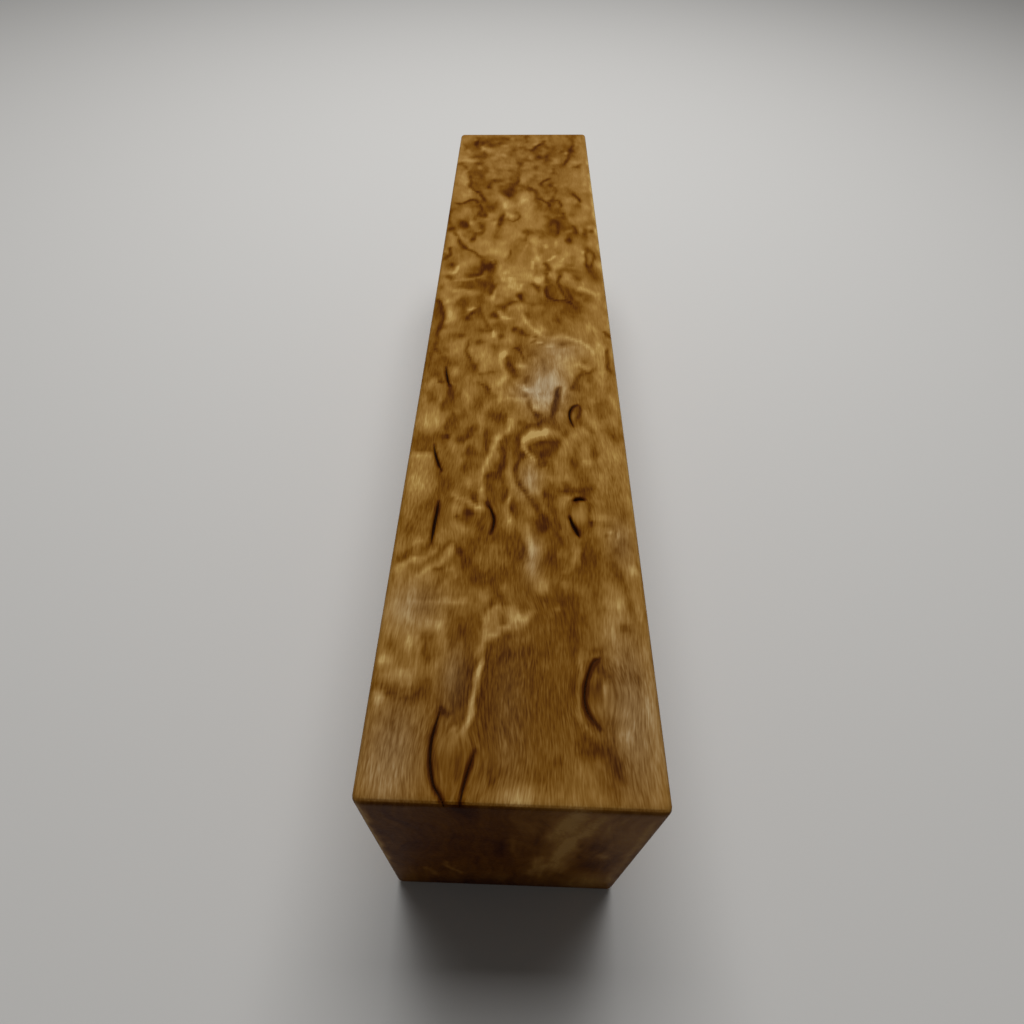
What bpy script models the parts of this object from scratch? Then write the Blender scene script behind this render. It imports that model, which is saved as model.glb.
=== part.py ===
"""Masur birch block: a sawn and sanded handle blank, cut from one piece of figured birch.

The block lies on its narrow long face. Its length runs along Y with the near end at -Y, its
width along X, and its height along Z. The origin is at the middle of the footprint.
Sizes are in metres, and angles in degrees.
"""

import math
import random

import bmesh
import bpy
from mathutils import Matrix, Vector

MM = 0.001

# Overall size of the blank
LENGTH = 130.0 * MM  # along the middle of the top face, from end to end
WIDTH = 25.4 * MM
HEIGHT = 33.5 * MM

# Both ends were sawn by eye: the far one is well off square in plan, and the near one leans back
NEAR_END_SKEW = -0.6
NEAR_END_LEAN = 0.2
FAR_END_SKEW = 5.4

# Sanding rounds the long edges under the block the most, then the four upright ones
UNDER_RADIUS = 1.5 * MM
UPRIGHT_RADIUS = 0.7 * MM
EDGE_RADIUS = 0.6 * MM
EDGE_SEGMENTS = 4

# Clefts are the slits that bark left in the wood
CLEFT_DEPTH = 0.5 * MM
CLEFT_STEPS = 8
CUTTER_STANDS_PROUD = 1.0 * MM
HIDDEN_CLEFT_SEED = 7
HIDDEN_CLEFT_MARGIN = 4.0 * MM

BIRCH_COLOUR = (0.42, 0.24, 0.08, 1.0)
BIRCH_ROUGHNESS = 0.45

# Each cleft on the top face, in millimetres from its near left corner: start (across, along),
# end (across, along), how far its middle bows to the right of that run, and its width
TOP_CLEFTS = (
    ((6.5, 8.0), (7.7, -0.6), 1.2, 0.34),
    ((9.5, 4.4), (8.6, -0.6), -0.1, 0.30),
    ((20.4, 13.0), (20.1, 6.4), 1.4, 0.46),
    ((2.9, 39.4), (3.9, 35.5), 0.1, 0.34),
    ((4.1, 30.8), (3.8, 25.4), 0.0, 0.42),
    ((9.5, 30.9), (10.1, 26.9), -0.5, 0.40),
    ((18.2, 29.4), (19.2, 26.8), 0.1, 0.44),
    ((18.8, 31.9), (20.0, 31.8), 0.0, 0.46),
    ((20.0, 47.3), (19.2, 43.4), 0.6, 0.34),
    ((3.0, 53.9), (3.7, 50.4), 0.0, 0.32),
)

# How many clefts each face that the top view hides has, and how far they lie along the grain
HIDDEN_CLEFTS_PER_FACE = 5
HIDDEN_CLEFT_LENGTH = (3.5 * MM, 8.0 * MM)
HIDDEN_CLEFT_WIDTH = (0.30 * MM, 0.46 * MM)
HIDDEN_CLEFT_BOW = 1.3 * MM
HIDDEN_CLEFT_LEAN = 12.0

HALF_WIDTH = WIDTH / 2
NEAR_SLOPE = math.tan(math.radians(NEAR_END_SKEW))
NEAR_LEAN_SLOPE = math.tan(math.radians(NEAR_END_LEAN))
FAR_SLOPE = math.tan(math.radians(FAR_END_SKEW))

# The block's middle, from the near end of its top face: the rounding takes the corners' tips off
FLAT_HALF_WIDTH = HALF_WIDTH - UPRIGHT_RADIUS
NEAREST_Y = -abs(NEAR_SLOPE) * FLAT_HALF_WIDTH + EDGE_RADIUS * NEAR_LEAN_SLOPE
FARTHEST_Y = LENGTH + abs(FAR_SLOPE) * FLAT_HALF_WIDTH
MIDDLE_Y = (NEAREST_Y + FARTHEST_Y) / 2


def clear_scene():
    """Removes every object, so that only the block is left."""
    for obj in list(bpy.data.objects):
        bpy.data.objects.remove(obj, do_unlink=True)


def new_collection(name):
    """A collection linked to the scene."""
    collection = bpy.data.collections.new(name)
    bpy.context.scene.collection.children.link(collection)
    return collection


def birch_material():
    """Oiled birch in the block's mean colour."""
    material = bpy.data.materials.new("oiled_masur_birch")
    material.use_nodes = True
    shader = material.node_tree.nodes["Principled BSDF"]
    shader.inputs["Base Color"].default_value = BIRCH_COLOUR
    shader.inputs["Roughness"].default_value = BIRCH_ROUGHNESS
    shader.inputs["Metallic"].default_value = 0.0
    return material


def edge_radius(edge):
    """How far an edge of the sawn blank is rounded."""
    along = edge.verts[1].co - edge.verts[0].co
    if abs(along.z) > HEIGHT / 2:
        return UPRIGHT_RADIUS
    lies_under = edge.verts[0].co.z < HEIGHT / 2
    runs_lengthwise = abs(along.y) > LENGTH / 2
    return UNDER_RADIUS if lies_under and runs_lengthwise else EDGE_RADIUS


def sawn_blank(collection):
    """The block before sanding: a box with its ends out of square, its edges weighted to round."""
    mesh = bpy.data.meshes.new("masur_birch_block")
    blank = bmesh.new()
    bmesh.ops.create_cube(blank, size=1.0)
    bmesh.ops.scale(blank, vec=(WIDTH, LENGTH, HEIGHT), verts=blank.verts)
    bmesh.ops.translate(blank, vec=(0, LENGTH / 2 - MIDDLE_Y, HEIGHT / 2), verts=blank.verts)
    for corner in blank.verts:
        if corner.co.y < 0:
            lean = (HEIGHT - corner.co.z) * NEAR_LEAN_SLOPE
            corner.co.y += corner.co.x * NEAR_SLOPE + lean
        else:
            corner.co.y += corner.co.x * FAR_SLOPE
    weight = blank.edges.layers.float.new("bevel_weight_edge")
    for edge in blank.edges:
        edge[weight] = edge_radius(edge) / UNDER_RADIUS
    blank.to_mesh(mesh)
    blank.free()
    block = bpy.data.objects.new("masur_birch_block", mesh)
    collection.objects.link(block)
    return block


def ease_edges(block):
    """Rounds every edge by its weight's share of the largest radius."""
    rounding = block.modifiers.new("eased_edges", "BEVEL")
    rounding.limit_method = "WEIGHT"
    rounding.width = UNDER_RADIUS
    rounding.segments = EDGE_SEGMENTS


def cleft_outline(start, end, bow, width):
    """The rim of a slit that tapers to both tips, as points (across, along) in metres."""
    run = end - start
    to_the_right = Vector((run.y, -run.x)).normalized()
    right_rim = []
    left_rim = []
    for step in range(1, CLEFT_STEPS):
        share = step / CLEFT_STEPS
        middle = start + run * share + to_the_right * bow * 4 * share * (1 - share)
        half = to_the_right * width / 2 * math.sqrt(math.sin(math.pi * share))
        right_rim.append(middle + half)
        left_rim.append(middle - half)
    return [start, *right_rim, end, *reversed(left_rim)]


def cleft_cutter(name, collection, outline, face_matrix):
    """A plate of the slit's outline, from above the face down to the slit's floor."""
    curve = bpy.data.curves.new(name, "CURVE")
    curve.dimensions = "2D"
    curve.fill_mode = "BOTH"
    curve.extrude = (CLEFT_DEPTH + CUTTER_STANDS_PROUD) / 2
    rim = curve.splines.new("POLY")
    rim.points.add(len(outline) - 1)
    for point, place in zip(rim.points, outline, strict=True):
        point.co = (place.x, place.y, 0, 1)
    rim.use_cyclic_u = True
    guide = bpy.data.objects.new(name + "_outline", curve)
    collection.objects.link(guide)
    bpy.context.view_layer.update()
    evaluated = guide.evaluated_get(bpy.context.evaluated_depsgraph_get())
    mesh = bpy.data.meshes.new_from_object(evaluated)
    bpy.data.objects.remove(guide, do_unlink=True)
    solid = bmesh.new()
    solid.from_mesh(mesh)
    bmesh.ops.remove_doubles(solid, verts=solid.verts, dist=0.00001)
    bmesh.ops.recalc_face_normals(solid, faces=solid.faces)
    solid.to_mesh(mesh)
    solid.free()
    cutter = bpy.data.objects.new(name, mesh)
    middle_height = (CUTTER_STANDS_PROUD - CLEFT_DEPTH) / 2
    cutter.matrix_world = face_matrix @ Matrix.Translation((0, 0, middle_height))
    cutter.hide_render = True
    cutter.display_type = "WIRE"
    collection.objects.link(cutter)


def top_face_matrix():
    """Puts (across, along) from the near left corner on the top face, with Z out of the wood."""
    return Matrix.Translation((-HALF_WIDTH, -MIDDLE_Y, HEIGHT))


def hidden_faces():
    """Each long face that the top view hides: its name, its matrix and its size across."""
    turn_to_left = Matrix.Rotation(math.radians(-90), 4, "Y")
    turn_to_right = Matrix.Rotation(math.radians(90), 4, "Y")
    turn_under = Matrix.Rotation(math.radians(180), 4, "Y")
    return (
        ("left", Matrix.Translation((-HALF_WIDTH, -MIDDLE_Y, 0)) @ turn_to_left, HEIGHT),
        ("right", Matrix.Translation((HALF_WIDTH, -MIDDLE_Y, HEIGHT)) @ turn_to_right, HEIGHT),
        ("under", Matrix.Translation((HALF_WIDTH, -MIDDLE_Y, 0)) @ turn_under, WIDTH),
    )


def cut_top_clefts(collection):
    """The slits that the top face shows."""
    for number, (start, end, bow, width) in enumerate(TOP_CLEFTS, start=1):
        outline = cleft_outline(Vector(start) * MM, Vector(end) * MM, bow * MM, width * MM)
        cleft_cutter(f"top_cleft_{number}", collection, outline, top_face_matrix())


def cut_hidden_clefts(collection):
    """Slits of the same kind on the other long faces, one in each stretch of the length."""
    draw = random.Random(HIDDEN_CLEFT_SEED)
    stretch = LENGTH / HIDDEN_CLEFTS_PER_FACE
    for face_name, matrix, across in hidden_faces():
        for number in range(HIDDEN_CLEFTS_PER_FACE):
            length = draw.uniform(*HIDDEN_CLEFT_LENGTH)
            room = stretch - length - HIDDEN_CLEFT_MARGIN
            along = number * stretch + HIDDEN_CLEFT_MARGIN / 2 + draw.uniform(0, room)
            side = draw.uniform(HIDDEN_CLEFT_MARGIN, across - HIDDEN_CLEFT_MARGIN)
            lean = math.radians(draw.uniform(-HIDDEN_CLEFT_LEAN, HIDDEN_CLEFT_LEAN))
            start = Vector((side, along))
            end = start + Vector((math.sin(lean), math.cos(lean))) * length
            bow = draw.uniform(-HIDDEN_CLEFT_BOW, HIDDEN_CLEFT_BOW)
            outline = cleft_outline(start, end, bow, draw.uniform(*HIDDEN_CLEFT_WIDTH))
            cleft_cutter(f"{face_name}_cleft_{number + 1}", collection, outline, matrix)


def build():
    """Makes the block, eases its edges and cuts its clefts."""
    clear_scene()
    parts = new_collection("masur_birch_block")
    cutters = new_collection("cleft_cutters")
    block = sawn_blank(parts)
    block.data.materials.append(birch_material())
    ease_edges(block)
    cut_top_clefts(cutters)
    cut_hidden_clefts(cutters)
    slits = block.modifiers.new("clefts", "BOOLEAN")
    slits.operation = "DIFFERENCE"
    slits.solver = "EXACT"
    slits.operand_type = "COLLECTION"
    slits.collection = cutters


build()
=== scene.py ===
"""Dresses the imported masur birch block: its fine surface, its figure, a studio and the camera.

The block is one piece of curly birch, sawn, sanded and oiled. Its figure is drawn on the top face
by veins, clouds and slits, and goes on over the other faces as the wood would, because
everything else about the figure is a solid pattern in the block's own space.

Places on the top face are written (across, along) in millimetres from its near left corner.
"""

import logging
import math
import random
from collections.abc import Mapping, Sequence
from dataclasses import dataclass
from enum import Enum

import bpy
import numpy as np
from mathutils import Matrix, Vector


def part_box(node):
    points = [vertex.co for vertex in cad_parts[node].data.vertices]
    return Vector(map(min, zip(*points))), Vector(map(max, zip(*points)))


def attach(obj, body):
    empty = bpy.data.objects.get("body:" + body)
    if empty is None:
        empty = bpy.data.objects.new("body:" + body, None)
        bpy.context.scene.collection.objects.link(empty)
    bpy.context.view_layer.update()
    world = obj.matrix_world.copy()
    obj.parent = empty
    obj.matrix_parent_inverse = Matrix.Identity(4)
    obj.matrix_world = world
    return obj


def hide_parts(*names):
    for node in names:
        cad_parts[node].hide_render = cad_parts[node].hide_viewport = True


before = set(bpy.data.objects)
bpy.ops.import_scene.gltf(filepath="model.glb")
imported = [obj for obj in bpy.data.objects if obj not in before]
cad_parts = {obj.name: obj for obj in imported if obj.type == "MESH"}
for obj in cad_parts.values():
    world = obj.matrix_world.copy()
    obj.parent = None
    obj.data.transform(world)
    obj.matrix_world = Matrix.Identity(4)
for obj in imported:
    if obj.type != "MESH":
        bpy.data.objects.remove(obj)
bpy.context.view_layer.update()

log = logging.getLogger("masur_birch_block")

MM = 0.001
NODE = "masur_birch_block"

Place = tuple[float, float]
Span = tuple[float, float]
Point = tuple[float, float, float]
Colour = tuple[float, float, float, float]


class Crisp(Enum):
    """The side on which a vein ends sharply, walking along its path."""

    NEITHER = 0
    LEFT = 1
    RIGHT = -1


@dataclass(frozen=True)
class Vein:
    """A stroke of darker or lighter wood that fades out at both tips; a few of them are painted highlights
    instead.
    """

    path: tuple[Place, ...]
    width: float
    tone: float
    crisp: Crisp = Crisp.NEITHER


@dataclass(frozen=True)
class Cloud:
    """A soft oval of darker or lighter wood; a few of them are painted light instead."""

    centre: Place
    radii: Place
    tone: float
    turn: float = 0.0


@dataclass(frozen=True)
class Slit:
    """A cleft that bark left: open, widest at its middle, and almost black from its bark and from painted
    shade in its hollow.
    """

    path: tuple[Place, ...]
    width: float


@dataclass(frozen=True)
class Swell:
    """A place that the fibres bend round, as water does round a stone, or sway past."""

    centre: Place
    radius: float
    push: float
    sway: float = 0.0


def lay_clouds(*rows: tuple[float, ...]) -> tuple[Cloud, ...]:
    """Lays clouds, each from its place across and along, its two radii, its tone and any turn."""
    return tuple(Cloud(row[:2], row[2:4], *row[4:]) for row in rows)


def lay_dabs(radii: Place, tone: float, centres: Sequence[Place]) -> tuple[Cloud, ...]:
    """Lays small clouds that share one size and tone."""
    return tuple(Cloud(centre, radii, tone) for centre in centres)


SLITS = (
    Slit(((7.7, -0.6), (7, 0.7), (6.4, 1.6), (6.05, 2.8), (5.9, 4.2), (5.95, 5.5), (6.45, 7.9)), 0.22),
    Slit(((8.5, -0.6), (8.7, 1), (8.95, 2.3), (9.25, 3.4), (9.55, 4.4)), 0.17),
    Slit(
        ((20.4, 13), (19.8, 12.6), (19.3, 11.5), (18.95, 10.2), (18.85, 9), (19.1, 7.8), (20, 6.5)), 0.19
    ),
    Slit(((2.85, 39.6), (3, 38.5), (3.35, 37.3), (3.7, 36.3), (4.05, 35.5)), 0.26),
    Slit(((4.15, 31), (4.1, 29.8), (4, 28.3), (3.95, 27), (3.85, 25.3)), 0.32),
    Slit(((9.4, 31), (9.8, 30.2), (10.15, 29.2), (10.25, 28.3), (10.15, 27.5), (9.95, 26.9)), 0.24),
    Slit(((18.3, 29.4), (18.6, 28.4), (18.9, 27.6), (19.2, 26.8)), 0.42),
    Slit(((18.75, 31.75), (19.4, 31.95), (20.05, 31.85)), 0.42),
    Slit(((19.95, 47.3), (19.3, 46.9), (18.95, 46), (18.9, 45), (19.1, 44), (19.3, 43.4)), 0.24),
    Slit(((3, 53.9), (3.1, 53), (3.3, 52), (3.5, 51), (3.75, 50.2)), 0.24),
)

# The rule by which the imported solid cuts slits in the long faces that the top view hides
HIDDEN_SLIT_SEED = 7
HIDDEN_SLITS_PER_FACE = 5
HIDDEN_SLIT_LENGTHS = (3.5, 8.0)
HIDDEN_SLIT_WIDTHS = (0.30, 0.46)
HIDDEN_SLIT_MARGIN = 4.0
HIDDEN_SLIT_BOW = 1.3
HIDDEN_SLIT_LEAN = 12.0
HIDDEN_SLIT_STEPS = 8
BLANK_LENGTH = 130.0
BLANK_WIDTH = 25.4
BLANK_HEIGHT = 33.5

# How stroke edges waver: the lengths of its waves in millimetres, and their reach as a share of them
WAVER_SEED = 3
WAVES_PER_LENGTH = 3
WAVER_LENGTHS = (3.1, 1.7, 0.9)
WAVER_SHARE = 0.07
WAVER_STRETCH = 0.6

NEAR_VEINS = (
    Vein(((6.45, 7.8), (6.8, 7.5), (7.2, 7)), 0.25, -0.4),
    Vein(((8.4, 5.4), (8.8, 7), (9.1, 8.5), (9.35, 10), (9.6, 11.5), (9.8, 13.2)), 0.27, 0.6),
    Vein(((9.75, 12), (9.45, 13.2), (9.6, 14.2), (9.8, 15.5), (10, 17.5)), 0.28, 0.3),
    Vein(((8.3, 6.5), (8.6, 9), (8.9, 11), (9.1, 13)), 0.42, -0.16),
    Vein(((9.3, 7.5), (9.9, 11), (10.15, 13), (10.2, 14.6)), 0.4, -0.18),
    Vein(((7.2, 5.7), (7.8, 6), (8.5, 5.7)), 0.16, 0.22),
    Vein(((10.1, 15), (10, 16.5), (10.5, 17.8), (11.5, 18.2)), 0.35, 0.2),
    Vein(((11, 15.4), (12, 16.3), (12.8, 17), (13.6, 16.8), (14.2, 17.6), (14.3, 18.2)), 0.4, 0.3),
    Vein(((10.4, 14.2), (11.2, 14.7), (12.2, 15.2), (13.5, 15.7), (14.6, 16.5)), 0.42, -0.16),
    Vein(((11.6, 16.8), (11.6, 18.2), (11, 20)), 0.38, -0.16),
    Vein(((0.4, 22.2), (1.8, 23.2), (3, 23.1), (4.2, 24), (4.7, 25.3)), 0.32, 0.3),
    Vein(((2.4, 20.9), (3.8, 22.3), (5, 23), (6, 24.5), (6.4, 25.8)), 0.36, 0.3),
    Vein(((4.8, 19.2), (6.3, 21), (7.2, 22.2)), 0.3, 0.16),
    Vein(((0.6, 23.4), (2.2, 24.8), (3.8, 26.2)), 0.4, -0.16),
    Vein(((3.4, 21.4), (4.6, 22.2), (5.4, 22.4)), 0.3, -0.14),
    Vein(((6.4, 25.4), (7.2, 24), (8.4, 22.6), (9.8, 21.2)), 0.5, -0.16),
    Vein(((3.2, 18.2), (5, 18.4), (7, 18.6), (8.6, 19.2)), 0.3, 0.12),
    Vein(((0.8, 11.4), (2, 10.5), (3.5, 10.1), (4.4, 10.3)), 0.5, 0.14),
    Vein(((1.2, 9.6), (2.2, 9.1), (3.5, 8.9), (4.4, 9.2), (4.9, 10.2)), 0.45, -0.2, Crisp.LEFT),
    Vein(((4.5, 12.5), (4.6, 14), (4.5, 15.7)), 0.45, -0.14),
    Vein(((3.6, 15.3), (3.8, 13), (3.8, 11)), 0.22, 0.16),
    Vein(((18.3, 19), (18.2, 17), (18.4, 15), (18.3, 13), (18.1, 10), (18, 8)), 0.32, -0.16),
    Vein(((18, 8.2), (18.6, 6.3), (19.8, 5), (21, 3.8), (21.5, 1.8)), 0.4, -0.2),
    Vein(((18.9, 14.6), (18.5, 12), (18.25, 9), (18.5, 7), (19.3, 5.8), (20.4, 5)), 0.26, 0.28),
    Vein(((20.3, 12.9), (20.5, 12.2), (20.2, 11.2)), 0.3, -0.2),
    Vein(((20.5, 11.8), (21.6, 9.6), (22.6, 7.8)), 0.3, -0.1),
    Vein(((22.2, 25.2), (22.8, 23), (23.3, 21), (23.8, 19), (23.9, 16.2)), 0.38, -0.2),
    Vein(((14.3, 26.2), (13.9, 24.5), (14.4, 22.2), (15.3, 20.4), (15.7, 19.3)), 0.7, 0.22),
    Vein(((18.9, 26), (18.9, 24.6), (18.2, 23), (16.6, 21.8)), 0.35, 0.14),
    Vein(((19.5, 26), (19.4, 24), (18.8, 21.8)), 0.4, -0.12),
    Vein(((3.2, 22.9), (4.2, 23.8), (5.3, 24.9), (6.2, 26.2)), 0.38, -0.34),
    Vein(((5.8, 17), (5.7, 15.4), (6.2, 13.6), (6.9, 12.4)), 0.5, 0.24),
    Vein(((6.2, 26), (6.5, 24.9), (7.2, 23.5), (8, 22.2)), 0.35, -0.22),
    Vein(((13.5, 26.4), (13.6, 24.8), (13.9, 23.2)), 0.2, -0.24),
    Vein(((20.4, 13.2), (20.1, 12.4), (19.6, 11.6), (19.2, 10.8)), 0.3, -0.26),
)

NEAR_CLOUDS = lay_clouds(
    (15.5, 3.5, 6, 4.5, 0.05), (14.5, 11.5, 4, 4, 0.035), (8.8, 18.2, 1.6, 2.2, 0.08),
    (15, 0.5, 5, 0.8, 0.08), (7.5, 3.2, 1.2, 3.2, -0.05), (10.8, 23, 3, 2.4, -0.1),
    (8.8, 21.2, 1.4, 1, -0.2), (17, 17.2, 1.7, 3.2, -0.15), (16.6, 9, 1.6, 5, -0.05),
    (21.3, 3.2, 0.9, 1.7, -0.12), (16.4, 3.6, 0.7, 0.5, -0.12), (13.2, 18.3, 0.5, 0.8, -0.12),
    (23.3, 8, 2, 7, 0.05), (22.4, 17, 1, 2.6, 0.3), (3, 4, 2.6, 4, 0.04), (2, 16.8, 1.2, 2, 0.1),
    (5.4, 16.2, 1.4, 0.9, 0.22), (12.2, 18.6, 0.7, 1.6, 0.08), (12.7, 10, 14, 14, -0.11),
    (10.3, 8.8, 0.9, 3.4, -0.18), (12.6, 9, 3.2, 6.5, -0.12), (12.8, 14, 2.6, 1.2, -0.16),
    (17.8, 14.6, 1.4, 1.4, -0.15), (20.3, 10, 0.6, 1.6, -0.2), (19.8, 5.4, 1, 0.9, -0.16),
    (2.8, 14.4, 1.6, 1.9, 0.24), (4.4, 11.6, 0.8, 0.8, 0.2), (1, 18.5, 1.2, 3.2, 0.14),
    (6.5, 19.5, 0.9, 0.9, 0.16), (24.7, 8, 0.6, 8, 0.15), (7.7, 5, 0.7, 0.9, 0.15),
    (20.2, 24, 0.9, 3, -0.27), (21.6, 22.6, 1, 1.8, -0.1), (17, 24.4, 1.2, 1.4, 0.2),
    (13, 1, 2.4, 0.8, 0.1), (1.2, 23.3, 0.6, 0.35, -0.36), (3.9, 21.9, 0.7, 0.4, 0.25),
    (0.9, 22, 0.5, 0.45, 0.22), (6.2, 22.2, 0.5, 0.5, 0.2), (2.4, 20, 0.4, 1.5, 0.17),
    (6.8, 18.4, 1.3, 0.35, 0.23), (13.4, 24.4, 0.4, 1, -0.2), (14.5, 25.2, 0.35, 1.2, 0.39),
    (16.2, 24.4, 0.8, 1.3, -0.23), (18.6, 24.5, 0.35, 1.1, 0.22), (24.4, 23, 0.4, 0.8, 0.36),
    (11, 24, 1.6, 1.3, 0.17), (10.5, 18.6, 0.4, 0.6, -0.39), (9.9, 16.1, 0.35, 0.35, -0.33),
    (11.6, 16.5, 0.5, 0.35, -0.39), (10.6, 15, 0.7, 0.35, 0.43), (11.8, 17.7, 0.9, 0.35, 0.28),
    (11.4, 20.3, 0.35, 0.5, 0.25), (15.4, 20.4, 0.45, 0.9, 0.2), (16.5, 18.2, 1.2, 0.5, 0.2),
    (17.5, 20.9, 0.6, 0.6, 0.2), (22.5, 19, 0.8, 0.9, 0.2), (22.8, 16.2, 0.5, 0.6, -0.36),
    (21.2, 15.2, 0.7, 0.7, 0.2), (20.2, 13.8, 0.5, 0.35, -0.25), (24.6, 14, 0.35, 0.9, 0.19),
    (17, 14.3, 0.5, 0.7, 0.2), (5.8, 15.2, 0.6, 1.4, 0.16), (3, 14, 0.3, 1.2, 0.25),
    (1, 12.3, 0.6, 0.5, 0.43), (3, 11, 1.2, 0.45, 0.31), (4.8, 12.4, 0.3, 0.45, -0.25),
    (0.8, 8.8, 0.5, 0.7, 0.47), (8, 8.5, 0.7, 1.8, -0.17), (9.7, 11.8, 0.2, 0.7, 0.33),
    (11.8, 12.8, 0.6, 0.45, -0.22), (20.7, 10.2, 0.35, 0.8, 0.33), (22, 6, 0.45, 0.8, 0.22),
    (19.3, 4.4, 0.9, 0.5, -0.22), (2.5, 6.6, 0.4, 0.9, -0.17), (2.2, 1.7, 1.3, 0.9, 0.17),
    (22, 11.5, 1.4, 0.7, -0.16), (9.7, 11.3, 0.3, 0.9, 0.3), (8.9, 8.3, 0.5, 0.8, 0.26),
    (8.4, 5.6, 0.5, 0.5, 0.16), (12.8, 15.4, 1.4, 1.6, 0.2), (12.4, 17.1, 0.6, 0.5, 0.16),
    (10.9, 16.4, 0.4, 1.4, 0.12), (19.2, 24, 0.45, 1.4, 0.26), (14.8, 24.9, 0.7, 1.2, 0.13),
    (5.2, 24.6, 0.7, 0.6, 0.24), (8.9, 22.6, 0.6, 1.2, 0.14), (2.2, 23, 0.6, 0.5, 0.14),
    (0.8, 22.2, 0.4, 0.6, 0.12), (3.8, 21, 1, 0.6, 0.12), (3.4, 18.3, 1.3, 0.35, 0.13),
    (6.4, 20.4, 0.5, 0.5, 0.1), (18.9, 20.2, 1, 0.6, 0.14), (22, 20.6, 0.5, 0.8, 0.14),
    (23.3, 18.9, 0.6, 0.9, 0.16), (24.6, 18, 0.4, 1, 0.16), (15.8, 17.2, 0.7, 0.5, 0.1),
    (17.9, 3.1, 0.4, 1, 0.12), (13.2, 0.6, 0.9, 0.5, 0.14), (3.4, 12.2, 0.4, 0.8, 0.12),
    (21.9, 11.5, 0.8, 0.5, 0.12), (5.5, 11.4, 0.4, 1.1, 0.13), (7, 11.6, 0.4, 0.8, 0.11),
    (24.6, 7, 0.35, 1.6, 0.1), (9.5, 19.2, 0.5, 0.8, 0.1), (2, 16.6, 0.9, 0.7, 0.08),
    (20, 16.2, 0.5, 1.2, 0.08), (10.4, 9.8, 0.4, 1.6, 0.1), (10.8, 13.2, 0.5, 0.8, 0.1),
    (7.3, 22.8, 0.5, 1, -0.14), (12.2, 24.4, 1.3, 0.7, -0.14), (4.7, 22.4, 0.7, 0.5, -0.2),
    (1.4, 9.5, 0.8, 0.6, -0.2), (3.4, 9.7, 0.8, 0.5, -0.14), (5.4, 14.6, 0.6, 0.5, -0.16),
    (6.6, 13.3, 0.4, 0.6, -0.18), (21.1, 6.8, 0.7, 0.7, -0.14), (20.8, 11, 0.4, 0.5, -0.16),
    (15.2, 2.7, 1.1, 0.6, -0.1), (11.2, 2.6, 0.6, 0.9, -0.08), (9.2, 6.4, 0.3, 0.6, -0.12),
    (22.6, 22, 0.45, 1.3, -0.14), (17.5, 21.6, 0.5, 0.7, -0.12), (16.8, 8.2, 1, 1, -0.05),
    (11.6, 22.2, 1.4, 1, -0.06), (14.6, 10.4, 1, 1, -0.04), (17.2, 26, 0.4, 0.8, -0.1),
)

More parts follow.
